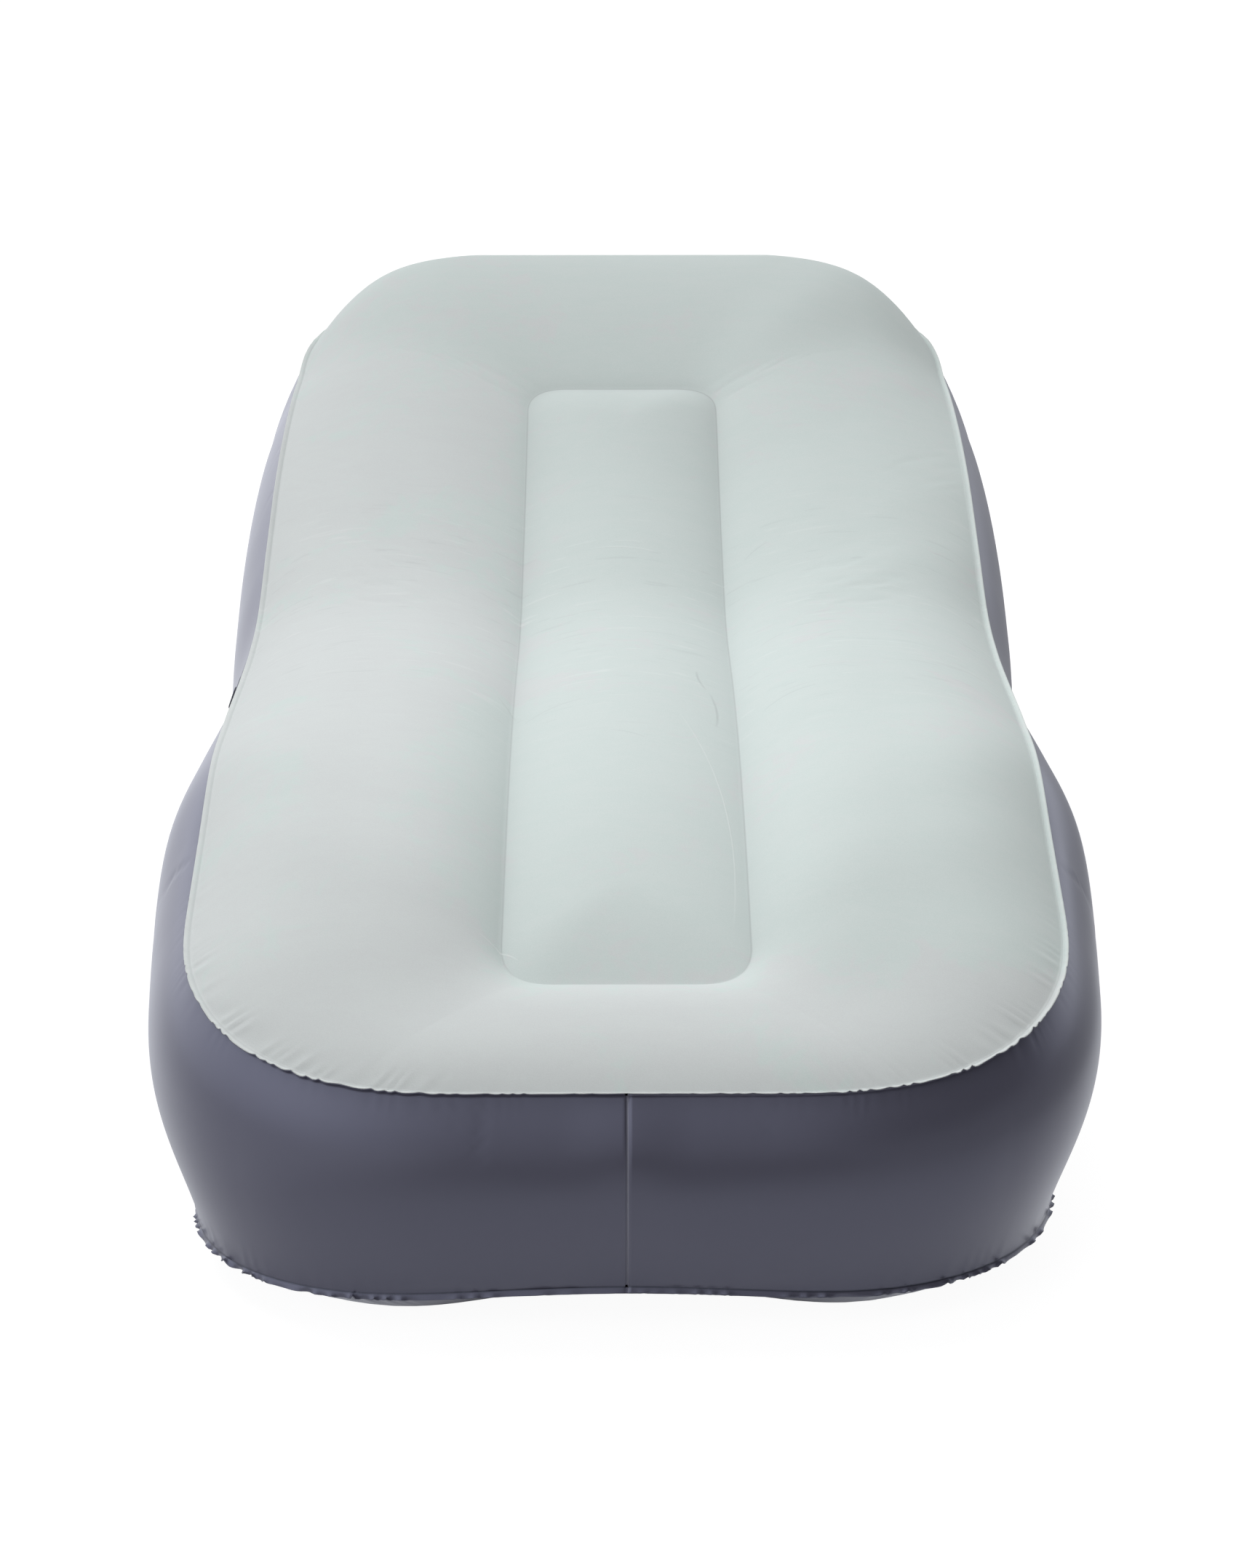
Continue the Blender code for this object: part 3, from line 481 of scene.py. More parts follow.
def wall_places(low, high, normals, share):
    """Points of a wall between its seams: the straight line from one to the other, moved out by the
    bulge."""
    plan = low[:, None] + share[:, None] * (high - low)[:, None]
    plan = plan + normals[:, None] * wall_bulge(high[:, 1:], share)[..., None]
    rise = share * seam_height(high[:, 1:]) + (1 - share) * bottom_arch(low)[:, None]
    return np.concatenate((plan, (rise + (0.5 - share) * WELD_GAP)[..., None]), -1)


def valve_patch():
    """The flat patch for the valve in the left wall: its lower and upper middle points, on the sheet's
    inside."""
    seat = np.array(((-HALF_WIDTH, VALVE_FROM_FOOT),))
    shares = np.array((1 - PATCH_HEIGHT / float(seam_height(np.array(VALVE_FROM_FOOT))), 1.0))
    return on_floor(wall_places(seat, seat, np.array(((-1.0, 0.0),)), shares)[0])


patch_low, patch_high = valve_patch()
patch_up = (patch_high - patch_low) / np.linalg.norm(patch_high - patch_low)
patch_foot = np.array((0, -1.0, 0))
patch_out = np.cross(patch_foot, patch_up)
valve_centre = patch_high - patch_up * VALVE_BELOW_SEAM + patch_out * SHEET
print("valve at", valve_centre.round(5), "facing", patch_out.round(5))


def flattened(points):
    """Draws the wall onto the valve's plane near the valve, and lets go of it over a ring round that."""
    off = (points - valve_centre) @ patch_out + SHEET
    across = np.linalg.norm(points - valve_centre - (off - SHEET)[..., None] * patch_out, axis=-1)
    hold = 1 - smooth_step((across - PATCH_FLAT) / PATCH_BLEND)
    return points - (off * hold)[..., None] * patch_out


def wall_grid(turn):
    """Half of the outer wall, on the right where turn is 1, with its lips, as a grid from the bottom
    lip's edge up to the top lip's. The columns run from the foot centre to the head centre."""
    high, normals = read_loop(top_seam, stations)
    low, low_normals = read_loop(bottom_seam[turn], bottom_stations[turn])
    low[[0, -1], 0] = high[[0, -1], 0] = WELD_GAP / 2
    share = eased(WALL_ROWS)
    body = wall_places(low, high, normals, share)
    side = np.full(len(high), float(turn))
    lower = lip_rows(body[:, 0], low_normals, stations, side, LIP_SHARES, False)
    upper = lip_rows(body[:, -1], normals, stations, side, LIP_SHARES[::-1], True)
    grid = on_floor(np.concatenate((lower, body, upper), 1)) * (turn, 1, 1)
    inner = slice(len(LIP_SHARES), -len(LIP_SHARES))
    if turn < 0:
        grid[:, inner] = flattened(grid[:, inner])
    return grid


right_grid, left_grid = wall_grid(1), wall_grid(-1)
print("wall grids:", right_grid.shape, "widest", np.abs(right_grid[..., 0]).max().round(4))

# %% [markdown]
# The two walls meet in a lap weld at the middle of each end: the left wall steps in by its own thickness
# and runs on behind the right wall's edge. The step is a short S, and its rows stop short of both seams,
# where the top and bottom sheets already close the bladder.

# %% The left wall's tongues
TONGUE_REACH = (0.0120, 0.0080, 0.0040, 0.0010, -0.0006, -0.0014, -0.0022, -0.0030)
TONGUE_SHARES = (1.0, 1.0, 1.0, 1.0, 1.0, 0.85, 0.15, 0.0)


def with_tongues(grid):
    """The wall's grid with its end columns swapped for a tongue's: each column keeps the end's heights,
    stands at its own reach past the middle line, and is drawn in by its share of a sheet's thickness.
    Gives the grid and the points outside the tongues' rows, whose quads are left out."""
    reach, share = np.array(TONGUE_REACH), np.array(TONGUE_SHARES)
    ends = []
    for end, inward in ((0, 1.0), (-1, -1.0)):
        tongue = np.repeat(grid[end][None], len(reach), 0)
        tongue[..., 0] = reach[:, None]
        tongue[..., 1] += inward * (SHEET + 2 * WELD_GAP) * share[:, None]
        ends.append(tongue)
    spare = np.zeros((len(reach), grid.shape[1]), bool)
    spare[:-1, :len(LIP_SHARES) + 2] = spare[:-1, -len(LIP_SHARES) - 2:] = True
    joined = np.concatenate((ends[0], grid[1:-1], ends[1][::-1]))
    return joined, np.concatenate((spare, np.zeros((len(grid) - 2, grid.shape[1]), bool), spare[::-1]))


print("tongues run", TONGUE_REACH[0], "m past the middle line")

# %% [markdown]
# The underside is plain vinyl. It is shaped like the top, but lower, and it lies flat where it takes the
# weight. The real sheet is pressed against the floor, so its points are simply stopped at floor level,
# which gives the two level strips that the lounger stands on.

# %% Bottom sheet
def bottom_crown(seam, weld):
    """Full under the sides and corners, and low across the two ends, which arch clear of the floor."""
    rise = smooth_step(np.abs(seam[:, 0]) / (HALF_WIDTH - BOTTOM_FOOT_CORNER / 2))
    return BOTTOM_END_CROWN + (BOTTOM_CROWN - BOTTOM_END_CROWN) * rise


under_grid, under_across = deck(bottom_seam, bottom_stations, -1, np.zeros_like, np.zeros_like, bottom_arch,
                                bottom_crown, lambda seam, weld, share: rail_arch(share, 0.5, RAIL_POWER),
                                lambda plan, rise: PANEL_CROWN * rise)[:2]
under_grid[..., 2] = np.maximum(under_grid[..., 2], SHEET)
print("bottom sheet rests on", int((under_grid[..., 2] <= SHEET).sum()), "points")

# %% [markdown]
# Air pressure is what shapes the real sheets, so the rails and walls are blown up once more by
# simulation. A coarser copy of each grid is pinned along its welds, given a percent or two of spare
# length round the corners, and loaded from inside. How far each point moved is read off, held to a few
# millimetres so that the fitted outline stays, and laid over the fine grid. The rails' move is let go of
# round the corners, where so coarse a cloth creases sharply. The result is a plain mesh with nothing left
# to simulate.

# %% Blowing up a sheet
PRESSURE = 4.0
BLOW_FRAMES = 18
SPARE_LEVELS = 10


def grid_quads(columns, rows, closed):
    """Corner numbers of the quads of a grid stored column by column, joined round where it is closed."""
    first = np.arange(columns if closed else columns - 1)[:, None] * rows + np.arange(rows - 1)
    other = (first + rows) % (columns * rows)
    return np.stack((first, other, other + 1, first + 1), -1).reshape(-1, 4)


def new_object(name, points, faces):
    """A smooth-shaded mesh object at the origin from arrays of points and faces."""
    mesh = bpy.data.meshes.new(name)
    mesh.from_pydata(points.reshape(-1, 3).tolist(), [], np.asarray(faces).tolist())
    mesh.shade_smooth()
    made = bpy.data.objects.new(name, mesh)
    bpy.context.scene.collection.objects.link(made)
    return made


def evaluated_points(thing):
    """The points of an object's mesh with its modifiers worked out."""
    mesh = thing.evaluated_get(bpy.context.evaluated_depsgraph_get()).to_mesh()
    points = np.empty(len(mesh.vertices) * 3, np.float32)
    mesh.vertices.foreach_get("co", points)
    return points.reshape(-1, 3).astype(float)


def blow_up(grid, closed, flip, spare, most):
    """Simulates a grid of cloth under pressure, pinned along its first and last rows. spare is the
    share of extra length wanted at each point. Gives each point's move, whose length is bent to stay
    under most."""
    quads = grid_quads(*grid.shape[:2], closed)
    cloth = new_object("blown_sheet", grid, quads[:, ::-1] if flip else quads)
    rows = np.arange(grid.shape[0] * grid.shape[1]) % grid.shape[1]
    pinned = cloth.vertex_groups.new(name="pinned")
    pinned.add(np.nonzero((rows == 0) | (rows == grid.shape[1] - 1))[0].tolist(), 1.0, "REPLACE")
    extra = cloth.vertex_groups.new(name="extra")
    levels = np.round(spare.ravel() / spare.max() * SPARE_LEVELS).astype(int)
    for level in range(1, SPARE_LEVELS + 1):
        extra.add(np.nonzero(levels == level)[0].tolist(), level / SPARE_LEVELS, "REPLACE")
    modifier = cloth.modifiers.new("cloth", "CLOTH")
    settings = modifier.settings
    settings.quality = 6
    settings.mass = 0.2
    settings.tension_stiffness = settings.compression_stiffness = 25
    settings.shear_stiffness = 10
    settings.bending_stiffness = 0.4
    settings.air_damping = 4
    settings.use_pressure = True
    settings.uniform_pressure_force = PRESSURE
    settings.vertex_group_mass = "pinned"
    settings.vertex_group_shrink = "extra"
    settings.shrink_min = 0
    settings.shrink_max = -float(spare.max())
    settings.effector_weights.gravity = 0
    modifier.collision_settings.use_collision = False
    modifier.point_cache.frame_end = BLOW_FRAMES
    for number in range(1, BLOW_FRAMES + 1):
        bpy.context.scene.frame_set(number)
    move = evaluated_points(cloth).reshape(grid.shape) - grid
    bpy.context.scene.frame_set(1)
    bpy.data.objects.remove(cloth)
    size = np.linalg.norm(move, axis=-1, keepdims=True)
    return move * (most * np.tanh(size / most) / np.maximum(size, 1e-9))


def spread(values, picked, count, axis):
    """Carries values from every picked row to all rows along an axis by a smooth cubic."""
    values = np.moveaxis(values, axis, 0)
    slopes = np.gradient(values, picked, axis=0)
    return np.moveaxis(cubic(picked, values, slopes, np.arange(count)), 0, axis)


def thinned(count, every):
    """Every so many of the numbers below count, with the last one always among them."""
    return np.unique(np.append(np.arange(0, count, every), count - 1))


print("blowing for", BLOW_FRAMES, "frames at pressure", PRESSURE)

# %% Blow up the rails and the walls
MOST_MOVE = 0.0025
TOP_SPARE = (0.016, 0.004, 0.004)
WALL_SPARE = (0.016, 0.008, 0.004)
FOOT_LET_GO = 0.85
HEAD_LET_GO = 0.95
LET_GO_BELL = 0.24
END_HELD = 0.06
rail = slice(len(LIP_SHARES), len(LIP_SHARES) + RAIL_ROWS)
wall = slice(len(LIP_SHARES), -len(LIP_SHARES))


def corner_spare(distance, foot, head, rest):
    """The spare share of length at stations: a little everywhere, more round the foot and head corners."""
    return rest + foot * near(distance, foot_corner_at, 0.20) + head * near(distance, head_corner_at, 0.16)


def blown(grid, closed, flip, spare, most):
    """Runs the simulation on every second column and row of a grid, and gives the move of every point."""
    columns = np.arange(0, len(grid), 2) if closed else thinned(len(grid), 2)
    rows = thinned(grid.shape[1], 2)
    spare = np.repeat(spare[columns][:, None], len(rows), 1)
    move = blow_up(grid[columns][:, rows], closed, flip, spare, most)
    if closed:
        columns, move = np.append(columns, len(grid)), np.concatenate((move, move[:1]))
    return spread(spread(move, rows, grid.shape[1], 1), columns, len(grid), 0)


top_move = blown(top_grid[:, rail], True, False, corner_spare(seam_distance, *TOP_SPARE), MOST_MOVE)
headwards = smooth_step(((top_grid[:, rail, 1] - FOOT_Y) / LENGTH - 0.70) / 0.14)
footwards = near(seam_distance, foot_corner_at, LET_GO_BELL)[:, None]
top_grid[:, rail] += top_move * ((1 - HEAD_LET_GO * headwards) * (1 - FOOT_LET_GO * footwards))[..., None]
print("rails moved by up to", np.linalg.norm(top_move, axis=-1).max().round(4), "m")
for grid, turn in ((right_grid, 1), (left_grid, -1)):
    move = blown(grid[:, wall], False, turn < 0, corner_spare(stations, *WALL_SPARE), MOST_MOVE)
    end = smooth_step(np.minimum(stations, stations[-1] - stations) / END_HELD)[:, None, None]
    away = np.linalg.norm(grid[:, wall] - valve_centre, axis=-1, keepdims=True)
    grid[:, wall] += move * end * smooth_step((away - PATCH_FLAT) / PATCH_BLEND)
    print("wall moved by up to", np.linalg.norm(move, axis=-1).max().round(4), "m")

# %% [markdown]
# On top of the blown shape come the folds that a coarse simulation can't hold: the fan of puckers inside
# every corner, driven by the same cusps as the lips. Each one is worked out as a height over the smooth
# surface and added along its normals. The hair-fine creases of vinyl that was packed folded come later,
# in the finish.

# %% Puckers as heights over the surface
PUCKER_START = 0.004
TOP_REACH = 0.017
TOP_DEPTH = 0.0014
UNDER_REACH = 0.030
UNDER_DEPTH = 0.0012
WALL_TOP_REACH = 0.014
WALL_TOP_DEPTH = -0.0004
WALL_BOTTOM_REACH = 0.016
WALL_BOTTOM_DEPTH = 0.0005


def surface_normals(grid, closed):
    """Unit normals of a grid: the cross product of its steps along the seam and across the sheet."""
    padded = np.concatenate((grid[-1:], grid, grid[:1])) if closed else grid
    along = np.gradient(padded, axis=0)[1:-1] if closed else np.gradient(padded, axis=0)
    normals = np.cross(along, np.gradient(grid, axis=1))
    return normals / np.maximum(np.linalg.norm(normals, axis=-1, keepdims=True), 1e-12)


def pucker(wave, strength, reach, depth, away):
    """Folds that start at a weld and fade inward: the cusps times a rise over the first millimetres and
    a bell over their reach."""
    rise = 1 - np.exp(-away / PUCKER_START)
    return depth * strength * wave * rise * np.exp(-(away / reach) ** 2)


away = top_across[:, rail]
strength = gather(seam_distance, seam_side, *TOP_FOLDS)[:, None]
wave = top_wave(seam_distance, seam_side)[:, None]
reach = TOP_REACH * (1 + 0.45 * sway(seam_distance, (0.047, 0.071, 0.13), 5))[:, None]
heights = pucker(wave, strength, reach, TOP_DEPTH, away)
top_grid[:, rail] += heights[..., None] * surface_normals(top_grid[:, rail], True)
print("deepest pucker", np.abs(heights).max().round(4), "m")

# %% Puckers in the walls and the underside
for grid, turn in ((right_grid, 1), (left_grid, -1)):
    tall = np.linalg.norm(grid[:, wall][:, -1] - grid[:, wall][:, 0], axis=-1)[:, None]
    share = eased(WALL_ROWS)
    side = np.full(len(stations), float(turn))
    upper = pucker(top_wave(stations, side)[:, None], gather(stations, side, *TOP_FOLDS)[:, None],
                   WALL_TOP_REACH, WALL_TOP_DEPTH, (1 - share) * tall)
    lower = pucker(bottom_wave(stations, side)[:, None], gather(stations, side, *BOTTOM_FOLDS)[:, None],
                   WALL_BOTTOM_REACH, WALL_BOTTOM_DEPTH, share * tall)
    out = surface_normals(grid[:, wall], False) * turn
    grid[:, wall] += (upper + lower)[..., None] * out

away = under_across[:, rail]
wave = bottom_wave(seam_distance, seam_side)[:, None]
strength = gather(seam_distance, seam_side, *BOTTOM_FOLDS)[:, None]
heights = pucker(wave, strength, UNDER_REACH, UNDER_DEPTH, away)
under_grid[:, rail] -= heights[..., None] * surface_normals(under_grid[:, rail], True)
under_grid[..., 2] = np.maximum(under_grid[..., 2], SHEET)
print("deepest pucker below", np.abs(heights).max().round(4), "m")

# %% [markdown]
# Each grid now becomes a closed sheet of its real thickness. Points that fall together on the middle line
# are merged first, so the sheet has no slit there, and then Solidify adds the thickness on the outside,
# which leaves the two lips of a weld a hair apart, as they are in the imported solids.

# %% Make the sheets
def store(thing, name, values):
    """Keeps one number for each point of a mesh as an attribute that materials can read."""
    layer = thing.data.attributes.new(name, "FLOAT", "POINT")
    layer.data.foreach_set("value", values.ravel().astype(np.float32))


def merge_points(thing, distance):
    """Welds together the points of a mesh that lie closer than a distance."""
    weld = thing.modifiers.new("merge", "WELD")
    weld.merge_threshold = distance


def thicken(thing, thickness):
    """Gives a sheet its thickness on the side that its faces point to."""
    solid = thing.modifiers.new("thickness", "SOLIDIFY")
    solid.thickness = thickness
    solid.offset = 1
    solid.use_even_offset = False


def settle(thing):
    """Replaces an object's mesh by the mesh that its modifiers give, and takes the modifiers off."""
    graph = bpy.context.evaluated_depsgraph_get()
    made = bpy.data.meshes.new_from_object(thing.evaluated_get(graph))
    thing.modifiers.clear()
    thing.data = made
    made.name = thing.name
    return thing


def sheet_piece(name, grid, closed, flip, attributes, drop=None):
    """A finished sheet: its grid's quads without the dropped ones, merged, thickened and settled."""
    quads = grid_quads(*grid.shape[:2], closed)
    kept = np.arange(grid.shape[0] * grid.shape[1])
    if drop is not None:
        kept, quads = np.unique(quads[~drop.ravel()[quads].all(1)], return_inverse=True)
        quads = quads.reshape(-1, 4)
    piece = new_object(name, grid.reshape(-1, 3)[kept], quads[:, ::-1] if flip else quads)
    for key, values in attributes.items():
        store(piece, key, values.ravel()[kept])
    merge_points(piece, WELD_GAP / 10)
    thicken(piece, SHEET)
    return settle(piece)


def ride_bladder(piece, slot, *nodes):
    """The piece moves with the bladder, and the nodes that it stands for are hidden."""
    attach(piece, "bladder")
    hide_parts(*nodes)


print("a sheet is", 1000 * SHEET, "mm thick")

# %% [markdown]
# Some of the top's finish follows its seams, and not the room: how far each point is from the seam, and
# where the flock is brushed a little warmer. The painted shade follows them too: darkest on the band of the
# inner weld, fading over the panel and the rail beside it, and weaker at the panel's foot end. These are
# kept as a number for each point, because a mesh carries its attributes along when it is thickened.

# %% Make the top and the underside
plan_x, plan_y = top_grid[..., 0], (top_grid[..., 1] - FOOT_Y) / LENGTH
left_rail = 1 - smooth_step((plan_x + 0.25) / 0.20)
foot_rim = 1 - smooth_step((plan_y - 0.03) / 0.10)
near_head = smooth_step((plan_y - 0.75) / 0.2)
warmth = np.clip(0.15 + 0.65 * left_rail * (1 - 0.4 * near_head) + 0.75 * foot_rim, 0, 1)
from_weld = top_across - rail_length[:, None]
# Painted shade along the inner weld: 1 on the weld's band, fading over the panel and the rail beside it
hollow = np.where(from_weld > 0, 0.45 * np.exp(-from_weld / 0.020), 0.30 * np.exp(from_weld / 0.012))
hollow[:, len(LIP_SHARES) + RAIL_ROWS] = 1.0
from_foot = top_grid[:, len(LIP_SHARES) + RAIL_ROWS, 1] - FOOT_Y - RECESS_FROM_FOOT
hollow *= (0.3 + 0.7 * smooth_step(from_foot / 0.05))[:, None]
flocked_top = sheet_piece("flocked_top", top_grid, True, False,
                          {"across": top_across, "warmth": warmth, "hollow": hollow})
underside = sheet_piece("underside", under_grid, True, True, {})
ride_bladder(flocked_top, "flocked_sheet", "top_sheet")
ride_bladder(underside, "smooth_sheet", "bottom_sheet")
print("faces:", len(flocked_top.data.polygons), len(underside.data.polygons))

# %% Make the walls
for name, grid, turn in (("wall_right", right_grid, 1), ("wall_left", left_grid, -1)):
    spare = None
    if turn < 0:
        grid, spare = with_tongues(grid)
    # Painted shadow: a dark line on the rows where the wall meets its bottom lip
    shade = np.zeros(grid.shape[1])
    shade[len(LIP_SHARES) - 1:len(LIP_SHARES) + 1] = (0.7, 1.0)
    piece = sheet_piece(name, grid, False, turn < 0, {"hollow": np.tile(shade, (len(grid), 1))}, spare)
    ride_bladder(piece, "smooth_sheet", "side_" + name)
    print(name, len(piece.data.polygons), "faces")

# %% [markdown]
# Inside, two upright strips tie the top to the underside along the inner weld. Each is a plain strip cut
# to the height between the two sheets, with round vents punched through it so that one valve fills every
# chamber. The vents are cut by a Boolean, because a hole through a grid would break its rows.

# %% Turned solids, and places for them
VENT_RADIUS = 0.025
VENT_HEIGHT = 0.120
VENT_COUNT = 5
VENT_FROM_FOOT = 0.340
VENT_FROM_HEAD = 0.480
VENT_STEPS = 64
CUTTER = 0.01
STRIP_ROWS = 12
ROUND_STEPS = 96


def lathe(name, outline, round_steps=ROUND_STEPS):
    """A solid turned about Z: each pair of the closed outline is a radius and a height, carried round a
    circle. Points on the axis fall together and are merged."""
    angle = np.arange(round_steps) * 2 * math.pi / round_steps
    radius, height = np.array(outline, float).T
    points = np.stack((radius * np.cos(angle)[:, None], radius * np.sin(angle)[:, None],
                       np.broadcast_to(height, (round_steps, len(height)))), -1)
    quads = grid_quads(round_steps, len(height), True)
    if radius.min() > 0:
        first, last = np.arange(round_steps) * len(height), len(height) - 1
        other = np.roll(first, -1)
        quads = np.concatenate((quads, np.stack((first + last, other + last, other, first), -1)))
    made = new_object(name, points, quads)
    merge_points(made, 1e-6)
    return settle(made)


def join_solids(thing, others, operation="UNION"):
    """Joins closed solids to a solid, or cuts them out of it, and removes them."""
    for other in others:
        step = thing.modifiers.new(other.name, "BOOLEAN")
        step.object, step.operation, step.solver = other, operation, "EXACT"
    settle(thing)
    for other in others:
        bpy.data.objects.remove(other)
    return thing


def set_place(thing, centre, axes):
    """Moves a solid's mesh into a frame: its centre, and three axes as rows."""
    points = np.empty(len(thing.data.vertices) * 3, np.float32)
    thing.data.vertices.foreach_get("co", points)
    moved = points.reshape(-1, 3).astype(float) @ np.array(axes) + np.array(centre)
    thing.data.vertices.foreach_set("co", moved.ravel().astype(np.float32))
    thing.data.update()
    return thing


print("turned solids have", ROUND_STEPS, "steps round them")

# %% Inner strips with their vents
ACROSS_AXES = ((0, 1, 0), (0, 0, 1), (1, 0, 0))
for name, turn in (("inner_strip_right", 1), ("inner_strip_left", -1)):
    plan = read_loop(inner_weld, weld_stations[::2])[0]
    plan[[0, -1], 0] = WELD_GAP / 2
    share = np.linspace(0, 1, STRIP_ROWS)
    tall = weld_height(plan[:, 1]) - 2 * WELD_GAP
    rows = np.concatenate((np.repeat(plan[:, None], STRIP_ROWS, 1),
                           (WELD_GAP + share * tall[:, None])[..., None]), -1)
    grid = on_floor(rows) * (turn, 1, 1)
    strip = sheet_piece(name, grid, False, turn < 0, {})
    vents = []
    for y in np.linspace(VENT_FROM_FOOT, LENGTH - VENT_FROM_HEAD, VENT_COUNT):
        vent = lathe("vent", ((0, -CUTTER), (VENT_RADIUS, -CUTTER), (VENT_RADIUS, CUTTER), (0, CUTTER)),
                     VENT_STEPS)
        place = on_floor(np.array((turn * RECESS_HALF_WIDTH, y, VENT_HEIGHT)))
        vents.append(set_place(vent, place, ACROSS_AXES))
    join_solids(strip, vents, "DIFFERENCE")
    ride_bladder(strip, "inner_sheet", name.replace("inner_strip", "inner_baffle"))
    print(name, len(strip.data.polygons), "faces")

# %% [markdown]
# The valve is the one moulded part. A welded ring comes out through the wall, a wide stopper on a strap
# closes it for letting the air out fast, and down the stopper's middle runs a nozzle with its own small
# cap outside and a thin flap inside. Each is round because its mould was turned, so each is turned here
# too, from an outline whose corners are eased, because a moulded edge always catches a line of light.

# %% Sizes of the valve
THROAT_RADIUS = 0.0172
THROAT_OUTER = 0.0198
BASE_RADIUS = 0.0320
COLLAR = 0.0035
PLUG_REACH = 0.0305
PLUG_RADIUS = 0.0260
PLUG_UNDER = 0.0038
PLUG_TOP = 0.0062
SKIRT_END = -0.0062
NOZZLE_RADIUS = 0.0080
NOZZLE_OUTER = 0.0094
NOZZLE_END = -0.0056
CAP_REACH = 0.0165
CAP_RADIUS = 0.0125
CAP_UNDER = 0.0065
FLAP_REACH = 0.0112
FLAP_RADIUS = 0.0092
SHARP_ANGLE = math.radians(50)
VALVE_AXES = (patch_foot, patch_up, patch_out)
print("valve axes:", np.round(VALVE_AXES, 3).tolist())

# %% Moulded solids
def eased_outline(outline, radius):
    """The outline with each corner swapped for a parabola between places a radius back along its two
    edges. Corners on the axis stay sharp."""
    corner = np.array(outline, float)
    back = []
    for other in (np.roll(corner, 1, 0), np.roll(corner, -1, 0)):
        gap = other - corner
        length = np.linalg.norm(gap, axis=1, keepdims=True)
        back.append(corner + gap * np.minimum(radius, 0.45 * length) / length)
    t = np.linspace(0, 1, 5)[:, None, None]
    curves = (1 - t) ** 2 * back[0] + 2 * t * (1 - t) * corner + t * t * back[1]
    on_axis = corner[:, 0] < 1e-9
    return np.concatenate([corner[i:i + 1] if on_axis[i] else curves[:, i] for i in range(len(corner))])


def bar(name, low, high, ease=0.0004):
    """A flat bar between two corners, its edges eased by a Bevel."""
    corners = np.array(list(itertools.product(*zip(low, high))))
    made = new_object(name, corners, ((0, 1, 3, 2), (4, 6, 7, 5), (0, 4, 5, 1), (2, 3, 7, 6), (0, 2, 6, 4),
                                      (1, 5, 7, 3)))
    edges = made.modifiers.new("edges", "BEVEL")
    edges.width, edges.segments = ease, 3
    return settle(made)


def moulded(name, body, outline, arms, node_name, ease=0.0003):
    """A moulded piece: its outline turned about the valve's axis and joined to its arms, set on the
    wall, and riding its own body."""
    made = join_solids(lathe(name, eased_outline(outline, ease)), arms)
    set_place(made, valve_centre, VALVE_AXES)
    made.data.set_sharp_from_angle(angle=SHARP_ANGLE)
    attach(made, body)
    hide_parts(node_name)
    return made


def ribs(places, half, low, high):
    """Small bars across a pull tab, for the fingers."""
    return [bar("rib", (-half, y, low), (half, y + 0.0009, high), 0.0002) for y in places]


def turned_arms(arms):
    """Turns arms that lie along the valve's Y axis to lie along its X axis, as the cap's do."""
    return [set_place(arm, (0, 0, 0), ((0, -1, 0), (1, 0, 0), (0, 0, 1))) for arm in arms]


print("eased outline of a square:", len(eased_outline(((1, 0), (2, 0), (2, 1), (1, 1)), 0.1)), "points")

# %% Ring, stopper, cap and flap
valve_ring = moulded("valve_ring", "bladder",
                     ((BASE_RADIUS, -0.0021), (BASE_RADIUS, -0.0009), (THROAT_OUTER, -0.0009),
                      (THROAT_OUTER, COLLAR), (THROAT_RADIUS, COLLAR), (THROAT_RADIUS, -0.0021)),
                     [bar("ear", (-0.007, -0.0325, 0.0003), (0.007, -0.0185, 0.0033), 0.0006)], "valve_base")
stopper = moulded("stopper", "plug_body",
                  ((0.0157, SKIRT_END), (0.0169, PLUG_UNDER), (PLUG_RADIUS, PLUG_UNDER),
                   (PLUG_RADIUS, 0.0060), (0.0250, 0.0067), (0.0232, 0.0067), (0.0224, PLUG_TOP),
                   (0.0146, PLUG_TOP), (0.0140, 0.0059), (0.0134, PLUG_TOP), (NOZZLE_RADIUS, PLUG_TOP),
                   (NOZZLE_RADIUS, NOZZLE_END), (NOZZLE_OUTER, NOZZLE_END), (NOZZLE_OUTER, PLUG_UNDER),
                   (0.0139, PLUG_UNDER), (0.0139, SKIRT_END)),
                  [bar("strap", (-0.005, -PLUG_REACH - 0.0009, 0.0036), (0.005, -0.0234, 0.0054), 0.0008),
                   bar("tab", (-0.005, 0.0234, 0.0036), (0.005, 0.0340, 0.0054), 0.0006),
                   *ribs((0.0285, 0.0303, 0.0321), 0.004, 0.0052, 0.0058),
                   bar("flap_ear", (-0.0025, -0.0118, -0.0054), (0.0025, -0.0087, 0.0050), 0.0003)],
                  "dump_plug")
cap_arms = [bar("strap", (-0.003, -CAP_REACH - 0.0007, 0.0067), (0.003, -0.0112, 0.0081), 0.0006),
            bar("tab", (-0.003, 0.0112, 0.0067), (0.003, 0.0175, 0.0081), 0.0005),
            *ribs((0.0139, 0.0155), 0.0022, 0.0079, 0.0084)]
nozzle_cap = moulded("nozzle_cap", "cap_body",
                     ((0, 0.0025), (0.0072, 0.0025), (0.0077, CAP_UNDER), (CAP_RADIUS, CAP_UNDER),
                      (CAP_RADIUS, 0.0080), (0.0118, 0.0085), (0.0104, 0.0085), (0.0096, 0.0080),
                      (0, 0.0080)),
                     turned_arms(cap_arms), "inflation_cap")
air_flap = moulded("air_flap", "flap_body",
                   ((0, -0.0067), (FLAP_RADIUS, -0.0067), (FLAP_RADIUS, -0.0059), (0, -0.0059)),
                   [bar("strap", (-0.0025, -FLAP_REACH - 0.00025, -0.0066), (0.0025, -0.0083, -0.0061),
                        0.0002)],
                   "check_flap", 0.0002)
